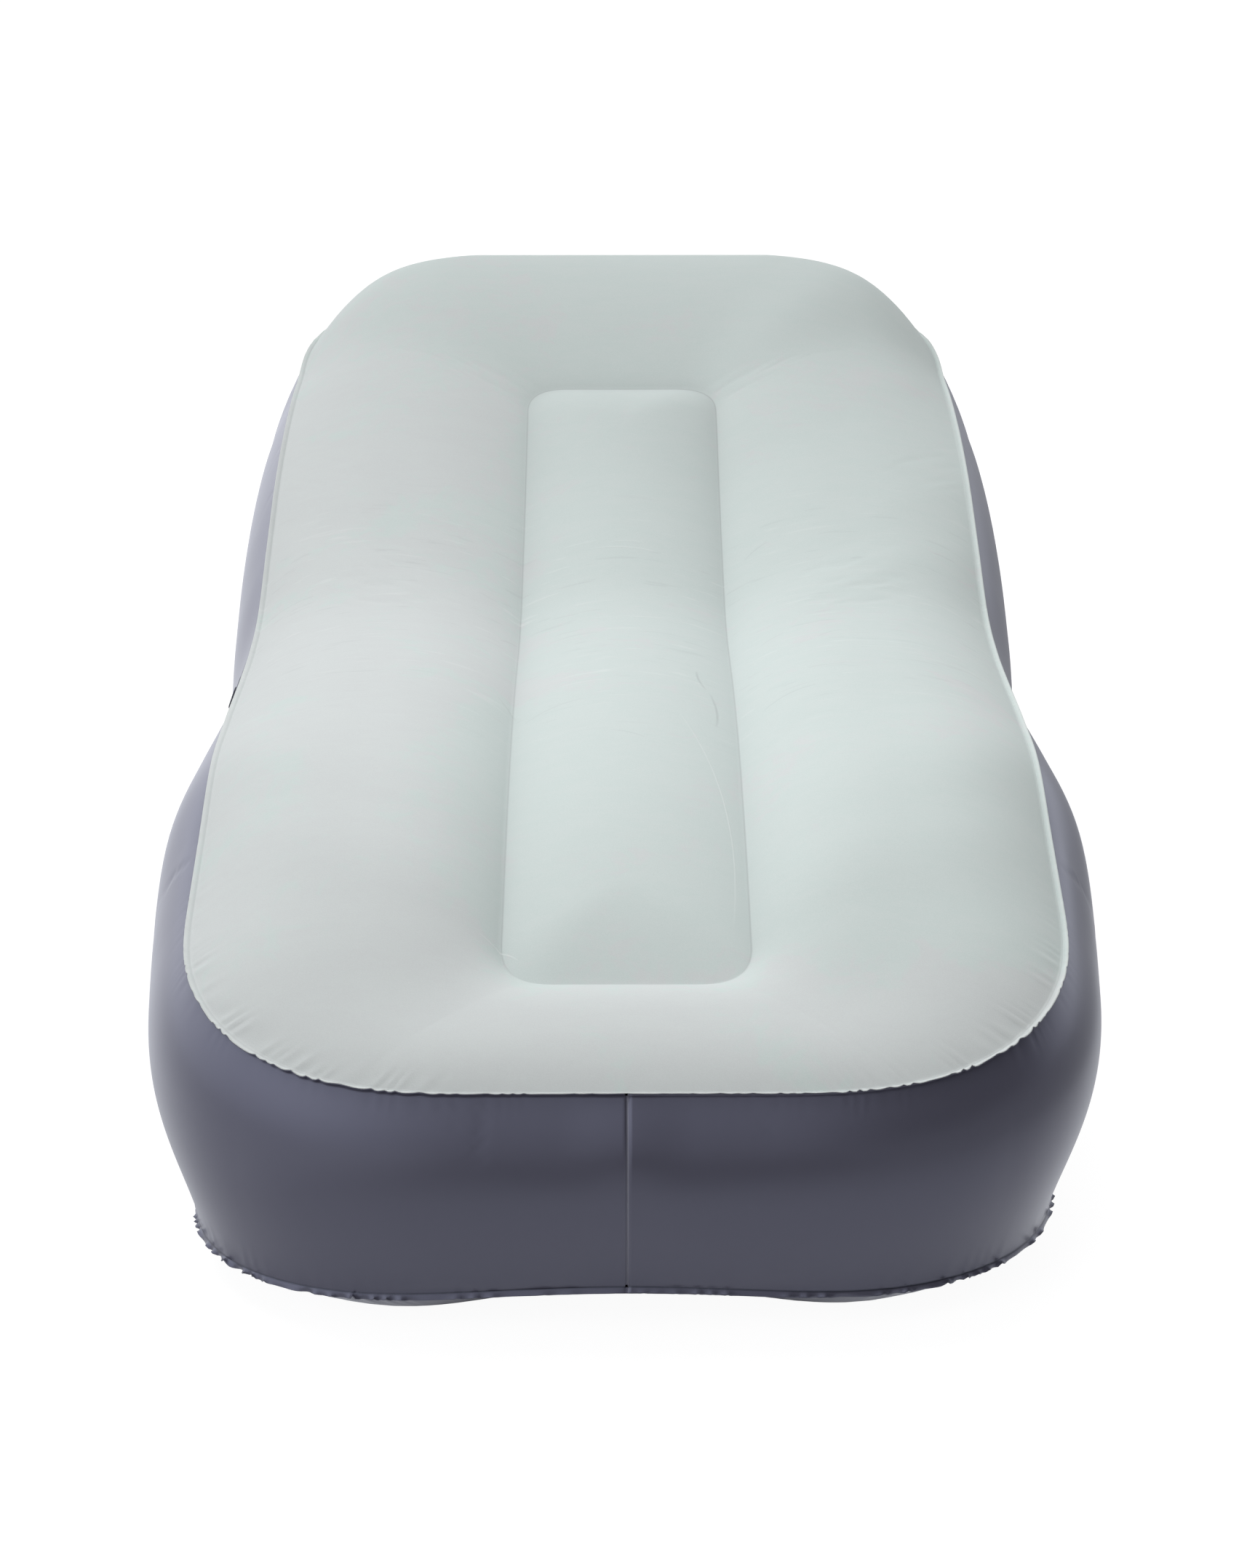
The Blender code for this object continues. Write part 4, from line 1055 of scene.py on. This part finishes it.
print("valve faces:", [len(piece.data.polygons) for piece in (valve_ring, stopper, nozzle_cap, air_flap)])

# %% Hole for the valve's throat
wall_left = bpy.data.objects["wall_left"]
hole_radius = THROAT_OUTER + WELD_GAP
hole = lathe("hole", ((0, -CUTTER), (hole_radius, -CUTTER), (hole_radius, CUTTER), (0, CUTTER)))
join_solids(wall_left, [set_place(hole, valve_centre, VALVE_AXES)], "DIFFERENCE")
wall_left.data.set_sharp_from_angle(angle=SHARP_ANGLE)
print("left wall:", len(wall_left.data.polygons), "faces")

# %% [markdown]
# Two finishes make the lounger. The top is flocked: short fibres stand in glue on the vinyl, so it is
# matt, soft in its shading and a little mottled where hands have brushed the nap. The rest is bare satin
# vinyl. The effects that both need, such as mottling and fine grain, are node groups that are built once
# and given their own values in each material. The groups put out colours, values and normals, and each
# material's shader stays outside them.

# %% Helpers for node groups
def new_group(name, inputs, outputs):
    """An empty shader group with named sockets. inputs and outputs pair a name with a kind and a value."""
    group = bpy.data.node_groups.new(name, "ShaderNodeTree")
    for label, kind, value in inputs:
        socket = group.interface.new_socket(name=label, in_out="INPUT", socket_type="NodeSocket" + kind)
        if value is not None:
            socket.default_value = value
    for label, kind in outputs:
        group.interface.new_socket(name=label, in_out="OUTPUT", socket_type="NodeSocket" + kind)
    group.nodes.new("NodeGroupInput").name = "in"
    group.nodes.new("NodeGroupOutput").name = "out"
    return group


def node(tree, kind, links=(), **settings):
    """A node with its properties set and its inputs either linked, where a socket is given, or set."""
    made = tree.nodes.new("ShaderNode" + kind)
    for key, value in settings.items():
        setattr(made, key, value)
    for key, value in dict(links).items():
        if isinstance(value, bpy.types.NodeSocket):
            tree.links.new(value, made.inputs[key])
        else:
            made.inputs[key].default_value = value
    return made


def maths(tree, operation, first, second=0.0, clamp=False):
    """The value of a Math node."""
    return node(tree, "Math", {0: first, 1: second}, operation=operation, use_clamp=clamp).outputs[0]


def between(tree, value, low, high):
    """A value turned into a share that rises smoothly from 0 at low to 1 at high."""
    ramp = node(tree, "MapRange", {"Value": value, "From Min": low, "From Max": high})
    ramp.interpolation_type = "SMOOTHSTEP"
    return ramp.outputs["Result"]


def blend_colours(tree, share, first, second):
    """The colour of a Mix node."""
    mix = node(tree, "Mix", data_type="RGBA")
    for place, value in ((0, share), (6, first), (7, second)):
        if isinstance(value, bpy.types.NodeSocket):
            tree.links.new(value, mix.inputs[place])
        else:
            mix.inputs[place].default_value = value
    return mix.outputs[2]


def vectors(tree, operation, first, second, value=False):
    """The vector, or the value, of a Vector Math node."""
    made = node(tree, "VectorMath", {0: first, 1: second}, operation=operation)
    return made.outputs["Value" if value else "Vector"]


print("nodes, sums, ramps and colour mixes are each one call from here on")

# %% Groups for mottling, grain and creases
def mottle_group():
    """Broad cloudy patches of two colours, broken up by finer ones."""
    group = new_group("mottle", (("Place", "Vector", None), ("Colour", "Color", (0.8, 0.8, 0.8, 1)),
                                 ("Other Colour", "Color", (0.7, 0.7, 0.7, 1)), ("Broad Scale", "Float", 5.0),
                                 ("Fine Scale", "Float", 30.0), ("Amount", "Float", 0.5),
                                 ("Lean", "Float", 0.0), ("Softness", "Float", 0.05)),
                      (("Colour", "Color"), ("Patches", "Float")))
    given, out = group.nodes["in"].outputs, group.nodes["out"]
    broad = node(group, "TexNoise", {"Vector": given["Place"], "Scale": given["Broad Scale"], "Detail": 4.0,
                                     "Roughness": 0.55, "Distortion": 0.6})
    fine = node(group, "TexNoise", {"Vector": given["Place"], "Scale": given["Fine Scale"], "Detail": 5.0,
                                    "Roughness": 0.65, "Distortion": 1.2})
    both = maths(group, "ADD", maths(group, "MULTIPLY", broad.outputs["Fac"], 0.62),
                 maths(group, "MULTIPLY", fine.outputs["Fac"], 0.38))
    low, high = (maths(group, turn, 0.5, given["Softness"]) for turn in ("SUBTRACT", "ADD"))
    patches = between(group, maths(group, "ADD", both, given["Lean"]), low, high)
    share = maths(group, "MULTIPLY", patches, given["Amount"])
    group.links.new(blend_colours(group, share, given["Colour"], given["Other Colour"]), out.inputs["Colour"])
    group.links.new(patches, out.inputs["Patches"])
    return group


def grain_group():
    """Fine grain as a bumped normal, and the same grain as a value."""
    group = new_group("grain", (("Place", "Vector", None), ("Scale", "Float", 500.0),
                                ("Detail", "Float", 2.0),
                                ("Strength", "Float", 0.3), ("Depth", "Float", 0.0003)),
                      (("Normal", "Vector"), ("Grain", "Float")))
    given, out = group.nodes["in"].outputs, group.nodes["out"]
    noise = node(group, "TexNoise", {"Vector": given["Place"], "Scale": given["Scale"],
                                     "Detail": given["Detail"]})
    bump = node(group, "Bump", {"Strength": given["Strength"], "Distance": given["Depth"],
                                "Height": noise.outputs["Fac"]})
    group.links.new(bump.outputs["Normal"], out.inputs["Normal"])
    group.links.new(noise.outputs["Fac"], out.inputs["Grain"])
    return group


def crease_group():
    """A mask along one crease seen in plan: its line bows to its left like a parabola, and its mask is
    a smooth hump across that line, which fades out at both ends."""
    group = new_group("crease", (("Place", "Vector", None), ("Start", "Vector", (0, 0, 0)),
                                 ("Run", "Vector", (0.1, 0, 0)), ("Bow", "Float", 0.0),
                                 ("Half Width", "Float", 0.001)), (("Mask", "Float"),))
    given, out = group.nodes["in"].outputs, group.nodes["out"]
    gone = vectors(group, "SUBTRACT", given["Place"], given["Start"])
    left = vectors(group, "CROSS_PRODUCT", (0, 0, 1), given["Run"])
    squared = vectors(group, "DOT_PRODUCT", given["Run"], given["Run"], True)
    along = maths(group, "DIVIDE", vectors(group, "DOT_PRODUCT", gone, given["Run"], True), squared)
    off = maths(group, "DIVIDE", vectors(group, "DOT_PRODUCT", gone, left, True),
                maths(group, "SQRT", squared))
    arch = maths(group, "MULTIPLY", along, maths(group, "SUBTRACT", 1.0, along))
    taper = maths(group, "MULTIPLY", arch, 4.0, True)
    bowed = maths(group, "MULTIPLY", given["Bow"], taper)
    away = maths(group, "ABSOLUTE", maths(group, "SUBTRACT", off, bowed))
    hump = between(group, maths(group, "DIVIDE", away, given["Half Width"]), 1.0, 0.0)
    group.links.new(maths(group, "MULTIPLY", hump, maths(group, "SQRT", taper)), out.inputs["Mask"])
    return group


MOTTLE, GRAIN, CREASE = mottle_group(), grain_group(), crease_group()
print("groups:", MOTTLE.name, GRAIN.name, CREASE.name)

# %% Helpers for materials
def new_material(name, **constants):
    """A material with a Principled shader whose plain values are set on its own sockets."""
    made = bpy.data.materials.new(name)
    made.use_nodes = True
    shader = made.node_tree.nodes["Principled BSDF"]
    for key, value in constants.items():
        shader.inputs[key.replace("_", " ")].default_value = value
    return made, made.node_tree, shader


def use_group(tree, group, **values):
    """Places a group in a material, with its inputs linked or set."""
    placed = tree.nodes.new("ShaderNodeGroup")
    placed.node_tree = group
    for key, value in values.items():
        socket = placed.inputs[key.replace("_", " ")]
        if isinstance(value, bpy.types.NodeSocket):
            tree.links.new(value, socket)
        else:
            socket.default_value = value
    return placed


def attribute(tree, name):
    """The value of a point attribute."""
    return node(tree, "Attribute", attribute_name=name).outputs["Fac"]


# The creases that packing left in the top, seen in plan: both ends, bow, half width, and the tone that each
# shows, pale above 0 and dark below it; the dark tone is painted fold shadow
CREASES = (((0.078, -0.190), (0.086, -0.246), -0.003, 0.0022, -1.0),
           ((0.090, -0.256), (0.094, -0.345), 0.004, 0.0022, -1.0),
           ((0.056, -0.335), (0.100, -0.700), 0.020, 0.0013, 0.8),
           ((-0.104, -0.328), (-0.042, -0.304), 0.006, 0.0020, -0.5),
           ((-0.040, 0.157), (0.052, 0.149), 0.003, 0.0018, 0.5),
           ((-0.018, 0.166), (0.026, 0.167), 0.002, 0.0016, 0.4),
           ((0.003, -0.012), (0.046, -0.006), -0.002, 0.0018, 0.6),
           ((0.012, -0.073), (0.068, -0.066), 0.002, 0.0020, -0.4),
           ((-0.136, -0.057), (-0.116, -0.038), 0.002, 0.0018, -0.6),
           ((-0.132, -0.265), (-0.113, -0.306), 0.003, 0.0018, -0.6),
           ((0.142, -0.326), (0.200, -0.306), 0.006, 0.0018, -0.6),
           ((0.148, -0.109), (0.178, -0.089), 0.003, 0.0018, -0.5),
           ((-0.137, -0.722), (-0.100, -0.741), 0.004, 0.0015, 0.8),
           ((0.210, -0.139), (0.237, -0.120), 0.002, 0.0018, -0.5),
           ((0.140, 0.153), (0.168, 0.172), 0.002, 0.0018, -0.5),
           ((-0.016, -0.392), (0.022, -0.409), 0.002, 0.0018, -0.4))


def creased(tree, place):
    """All creases of the top in one signed value, pale ones above 0 and dark ones below, with the short
    faint wrinkles round the seat from a stretched noise."""
    total = None
    for start, end, bow, half_width, tone in CREASES:
        run = (end[0] - start[0], end[1] - start[1], 0)
        crease = use_group(tree, CREASE, Place=place, Start=(*start, 0), Run=run, Bow=bow,
                           Half_Width=half_width)
        total = node(tree, "Math", {0: crease.outputs["Mask"], 1: tone, 2: 0.0 if total is None else total},
                     operation="MULTIPLY_ADD").outputs[0]
    stretched = node(tree, "Mapping", {"Vector": place, "Rotation": (0, 0, 0.2),
                                       "Scale": (14.0, 110.0, 30.0)})
    noise = node(tree, "TexNoise", {"Vector": stretched.outputs[0], "Scale": 1.0, "Detail": 2.0})
    noise = noise.outputs["Fac"]
    y = node(tree, "SeparateXYZ", {"Vector": place}).outputs["Y"]
    seat = maths(tree, "MULTIPLY", between(tree, y, -0.50, -0.20), between(tree, y, 0.35, 0.10))
    pale, dark = between(tree, noise, 0.63, 0.72), between(tree, noise, 0.37, 0.28)
    wrinkles = maths(tree, "MULTIPLY", maths(tree, "SUBTRACT", pale, dark), seat)
    return node(tree, "Math", {0: wrinkles, 1: 0.35, 2: total}, operation="MULTIPLY_ADD").outputs[0]


print(len(CREASES), "creases in the top")

# %% Flock
def flocked_material():
    """Pale grey flock: matt, mottled by brushing and faintly streaked, with painted shade along the weld of
    the middle panel, pressed flat on the lip, and creased, with painted shadow in its dark creases."""
    made, tree, shader = new_material("pale_flock", Roughness=0.92, Sheen_Weight=0.18, Sheen_Roughness=0.55,
                                      Specular_IOR_Level=0.2)
    place = node(tree, "TexCoord").outputs["Object"]
    lean = maths(tree, "MULTIPLY", maths(tree, "SUBTRACT", attribute(tree, "warmth"), 0.5), 0.24)
    mottle = use_group(tree, MOTTLE, Place=place, Colour=(0.652, 0.732, 0.715, 1),
                       Other_Colour=(0.681, 0.710, 0.712, 1), Broad_Scale=5.0, Fine_Scale=32.0, Amount=0.9,
                       Lean=lean)
    stretched = node(tree, "Mapping", {"Vector": place, "Rotation": (0, 0, 0.3), "Scale": (16.0, 50.0, 20.0)})
    streak = use_group(tree, MOTTLE, Place=stretched.outputs[0], Colour=mottle.outputs["Colour"],
                       Other_Colour=(0.702, 0.752, 0.742, 1), Broad_Scale=1.0, Fine_Scale=3.0, Amount=0.20)
    grain = use_group(tree, GRAIN, Place=place, Scale=900.0, Detail=3.0, Strength=0.35, Depth=0.0004)
    shade = between(tree, grain.outputs["Grain"], 0.3, 0.7)
    colour = blend_colours(tree, maths(tree, "MULTIPLY", shade, 0.10), streak.outputs["Colour"],
                           (0.93, 0.97, 0.96, 1))
    across = attribute(tree, "across")
    pressed = maths(tree, "MULTIPLY", between(tree, across, -0.0030, -0.0042), 0.4)
    colour = blend_colours(tree, pressed, colour, (0.73, 0.76, 0.75, 1))
    line = maths(tree, "MULTIPLY", between(tree, across, -0.0034, -0.0012),
                 between(tree, across, 0.0012, 0.0))
    # Painted shade along the inner weld, from its attribute, plus a faint dark weld line at the top seam,
    # blended towards grey
    hollow = maths(tree, "ADD", maths(tree, "MULTIPLY", attribute(tree, "hollow"), 0.62),
                   maths(tree, "MULTIPLY", line, 0.20), True)
    colour = blend_colours(tree, hollow, colour, (0.36, 0.39, 0.39, 1))
    creases = creased(tree, place)
    # Painted shadow: dark creases and wrinkles darken towards grey; pale ones lighten
    dark = maths(tree, "MULTIPLY", creases, -0.30, True)
    pale = maths(tree, "MULTIPLY", creases, 0.35, True)
    colour = blend_colours(tree, dark, colour, (0.36, 0.39, 0.40, 1))
    colour = blend_colours(tree, pale, colour, (0.95, 0.98, 0.97, 1))
    bump = node(tree, "Bump", {"Strength": 0.5, "Distance": 0.0006, "Height": creases,
                               "Normal": grain.outputs["Normal"]})
    tree.links.new(colour, shader.inputs["Base Color"])
    tree.links.new(bump.outputs["Normal"], shader.inputs["Normal"])
    return made


pale_flock = flocked_material()
print(pale_flock.name, "has", len(pale_flock.node_tree.nodes), "nodes")

# %% Vinyls and moulding
LAP_EDGE = (0.30, 0.30, 0.35, 1)
# Near black of the painted shadow in the crease at the walls' bottom weld
PAINTED_WELD_SHADOW = (0.006, 0.006, 0.010, 1)


def vinyl_material(name, colour, other, roughness, lap=0.0):
    """Bare satin vinyl with a violet gloss: faint clouds in colour and polish, a fine orange-peel
    grain, and a dark line of painted shadow in the crease at its bottom weld. lap is how pale the cut
    edge of its lap weld shows on the middle line."""
    made, tree, shader = new_material(name, Specular_IOR_Level=0.62, Specular_Tint=(0.80, 0.83, 1.0, 1))
    place = node(tree, "TexCoord").outputs["Object"]
    mottle = use_group(tree, MOTTLE, Place=place, Colour=colour, Other_Colour=other, Broad_Scale=3.0,
                       Fine_Scale=11.0, Amount=0.6, Softness=0.35)
    grain = use_group(tree, GRAIN, Place=place, Scale=420.0, Detail=2.0, Strength=0.10, Depth=0.0002)
    polish = node(tree, "MapRange", {"Value": mottle.outputs["Patches"], "To Min": roughness - 0.012,
                                     "To Max": roughness + 0.018})
    aside = node(tree, "SeparateXYZ", {"Vector": place}).outputs["X"]
    edge = between(tree, maths(tree, "ABSOLUTE", aside), 0.0014, 0.0004)
    shown = blend_colours(tree, maths(tree, "MULTIPLY", edge, lap), mottle.outputs["Colour"], LAP_EDGE)
    # Painted shadow: the weld attribute darkens the crease at the bottom weld to near black
    shade = maths(tree, "MULTIPLY", attribute(tree, "hollow"), 0.95, True)
    shown = blend_colours(tree, shade, shown, PAINTED_WELD_SHADOW)
    tree.links.new(shown, shader.inputs["Base Color"])
    tree.links.new(polish.outputs["Result"], shader.inputs["Roughness"])
    tree.links.new(grain.outputs["Normal"], shader.inputs["Normal"])
    return made


wall_vinyl = vinyl_material("violet_grey_vinyl", (0.074, 0.073, 0.102, 1), (0.081, 0.079, 0.110, 1), 0.30,
                            0.5)
under_vinyl = vinyl_material("underside_vinyl", (0.072, 0.071, 0.100, 1), (0.078, 0.076, 0.106, 1), 0.34)
inner_vinyl = vinyl_material("plain_grey_vinyl", (0.35, 0.36, 0.40, 1), (0.31, 0.32, 0.36, 1), 0.5)
moulding = vinyl_material("black_moulding", (0.012, 0.012, 0.014, 1), (0.018, 0.018, 0.020, 1), 0.38)
for finish, pieces in ((pale_flock, ("flocked_top",)), (wall_vinyl, ("wall_left", "wall_right")),
                       (under_vinyl, ("underside",)),
                       (inner_vinyl, ("inner_strip_left", "inner_strip_right")),
                       (moulding, ("valve_ring", "stopper", "nozzle_cap", "air_flap"))):
    for piece in pieces:
        bpy.data.objects[piece].data.materials.clear()
        bpy.data.objects[piece].data.materials.append(finish)
print("materials:", sorted(made.name for made in bpy.data.materials))

# %% [markdown]
# The lounger stands on a plain pale floor in soft light from above and all round. The floor and the world
# show white to the camera, and the floor keeps a faint shadow, so that the lounger stands on it. In the
# vinyl's gloss they show as a studio does that is bright on one side: white on the left and close by, and
# dim on the right.

# %% Floor
FLOOR_HALF = 30.0
FLOOR_HEIGHT = -0.0002
SHADOW_SHARE = 0.20
FLOOR_GLOW = 1.18
FOOTPRINT_CORNER = 0.25
FOOTPRINT_SIDES = {"X": 0.36, "Y": 0.86}


def only_seen(tree):
    """1 for camera and transmission rays, and 0 for the rays that carry light."""
    path = node(tree, "LightPath").outputs
    return maths(tree, "MAXIMUM", path["Is Camera Ray"], path["Is Transmission Ray"])


def past_footprint(tree, spot):
    """How far a place on the floor lies outside a rounded rectangle under the lounger: the length of
    its two overshoots past the corners' centres, less the corners' radius."""
    squares = []
    for axis, side in FOOTPRINT_SIDES.items():
        over = maths(tree, "SUBTRACT", maths(tree, "ABSOLUTE", spot[axis]), side - FOOTPRINT_CORNER)
        over = maths(tree, "MAXIMUM", over, 0.0)
        squares.append(maths(tree, "MULTIPLY", over, over))
    return maths(tree, "SUBTRACT", maths(tree, "POWER", maths(tree, "ADD", *squares), 0.5), FOOTPRINT_CORNER)


corners = np.array(((-1, -1), (1, -1), (1, 1), (-1, 1))) * FLOOR_HALF
floor = new_object("floor", np.column_stack((corners, np.full(4, FLOOR_HEIGHT))), [(0, 1, 2, 3)])
pale = bpy.data.materials.new("pale_floor")
pale.use_nodes = True
tree = pale.node_tree
tree.nodes.clear()
spot = node(tree, "SeparateXYZ", {"Vector": node(tree, "TexCoord").outputs["Object"]}).outputs
outside = past_footprint(tree, spot)
clear = between(tree, outside, 0.0, 0.06)
left_side = maths(tree, "MULTIPLY", between(tree, spot["X"], 0.1, -0.8), 1.35)
right_side = maths(tree, "MULTIPLY", between(tree, spot["X"], 0.35, 0.60), 0.45)
lit = maths(tree, "MAXIMUM", between(tree, outside, 0.80, 0.26),
            maths(tree, "MAXIMUM", left_side, right_side))
# Painted reflection: what the gloss sees of the floor glows bright close round the lounger and to the left,
# dimmer to the right and far off, and dark under the lounger as painted shadow
mirrored = maths(tree, "ADD", maths(tree, "MULTIPLY", maths(tree, "MULTIPLY", lit, clear), 0.95), 0.10)
glossy = node(tree, "LightPath").outputs["Is Glossy Ray"]
matt = node(tree, "BsdfDiffuse", {"Color": (0.85, 0.85, 0.85, 1)})
glow = node(tree, "Emission", {"Color": (1, 1, 1, 1), "Strength": FLOOR_GLOW})
share = maths(tree, "MULTIPLY", only_seen(tree), 1 - SHADOW_SHARE)
seen = node(tree, "MixShader", {0: share, 1: matt.outputs[0], 2: glow.outputs[0]})
reflected = node(tree, "Emission", {"Color": (0.92, 0.94, 1, 1), "Strength": mirrored})
mix = node(tree, "MixShader", {0: glossy, 1: seen.outputs[0], 2: reflected.outputs[0]})
node(tree, "OutputMaterial", {"Surface": mix.outputs[0]})
floor.data.materials.append(pale)
print("floor", 2 * FLOOR_HALF, "m square")

# %% World
AMBIENT = 0.28

world = bpy.data.worlds.new("studio")
bpy.context.scene.world = world
world.use_nodes = True
tree = world.node_tree
tree.nodes.clear()
aim = node(tree, "SeparateXYZ", {"Vector": node(tree, "TexCoord").outputs["Object"]}).outputs
behind = maths(tree, "MULTIPLY", between(tree, aim["Y"], -0.2, 0.6), between(tree, aim["X"], -0.2, 0.1))
above = maths(tree, "MULTIPLY", between(tree, aim["Z"], 0.0, 0.5), between(tree, aim["X"], 0.3, -0.3))
bright = maths(tree, "MAXIMUM", between(tree, aim["X"], 0.6, -0.9), maths(tree, "MULTIPLY", behind, 0.74))
bright = maths(tree, "ADD", bright, maths(tree, "MULTIPLY", above, 0.35))
mirrored = maths(tree, "ADD", maths(tree, "MULTIPLY", bright, 1.9), 0.15)
glossy = node(tree, "LightPath").outputs["Is Glossy Ray"]
sky = node(tree, "Background", {"Color": (1, 1, 1, 1), "Strength": AMBIENT})
white = node(tree, "Background", {"Color": (1, 1, 1, 1), "Strength": 1.0})
seen = node(tree, "MixShader", {0: only_seen(tree), 1: sky.outputs[0], 2: white.outputs[0]})
reflected = node(tree, "Background", {"Color": (0.88, 0.91, 1, 1), "Strength": mirrored})
mix = node(tree, "MixShader", {0: glossy, 1: seen.outputs[0], 2: reflected.outputs[0]})
node(tree, "OutputWorld", {"Surface": mix.outputs[0]})
print("world lights matt surfaces at", AMBIENT)

# %% Lamps
PANEL_LAMP_SIZE = 0.6
PANEL_LAMP_WATTS = 2.2
PANEL_LAMP_PLACE = (-0.03, FOOT_Y + 0.42, 1.45)

for name, aim, level, spread_angle in (("top_lamp", (-0.22, 0.60, 1.0), 0.54, 60),
                                       ("front_lamp", (-1.0, -0.9, 0.75), 0.17, 36)):
    lamp = bpy.data.objects.new(name, bpy.data.lights.new(name, "SUN"))
    lamp.data.energy = level * math.pi
    lamp.data.angle = math.radians(spread_angle)
    lamp.rotation_euler = Vector(aim).to_track_quat("Z", "Y").to_euler()
    lamp.visible_glossy = False
    bpy.context.scene.collection.objects.link(lamp)
panel_lamp = bpy.data.objects.new("panel_lamp", bpy.data.lights.new("panel_lamp", "AREA"))
panel_lamp.data.shape = "DISK"
panel_lamp.data.size = PANEL_LAMP_SIZE
panel_lamp.data.energy = PANEL_LAMP_WATTS
panel_lamp.location = PANEL_LAMP_PLACE
panel_lamp.visible_glossy = False
bpy.context.scene.collection.objects.link(panel_lamp)
bpy.context.scene.view_settings.view_transform = "Standard"
print("three lamps, all hidden from the gloss")

# %% [markdown]
# The camera stands before the foot end, above the lounger, and is turned down to it. Its lens gives the
# seams the perspective that was fitted.

# %% Camera
FOCAL_PIXELS = 4700
LONG_SIDE_PIXELS = 2156
SENSOR = 36
CAMERA_BACK = 2.784
CAMERA_UP = 1.359
CAMERA_ASIDE = -0.014
CAMERA_DOWN = math.radians(17.5)

camera = bpy.data.objects.new("camera", bpy.data.cameras.new("camera"))
bpy.context.scene.collection.objects.link(camera)
bpy.context.scene.camera = camera
camera.data.sensor_width = SENSOR
camera.data.lens = SENSOR * FOCAL_PIXELS / LONG_SIDE_PIXELS
camera.location = (CAMERA_ASIDE, FOOT_Y - CAMERA_BACK, BOTTOM_SEAM + CAMERA_UP)
camera.rotation_euler = (math.pi / 2 - CAMERA_DOWN, 0, math.atan(CAMERA_ASIDE / CAMERA_BACK))
camera.data.clip_end = 200
print("lens", round(camera.data.lens, 2), "mm")
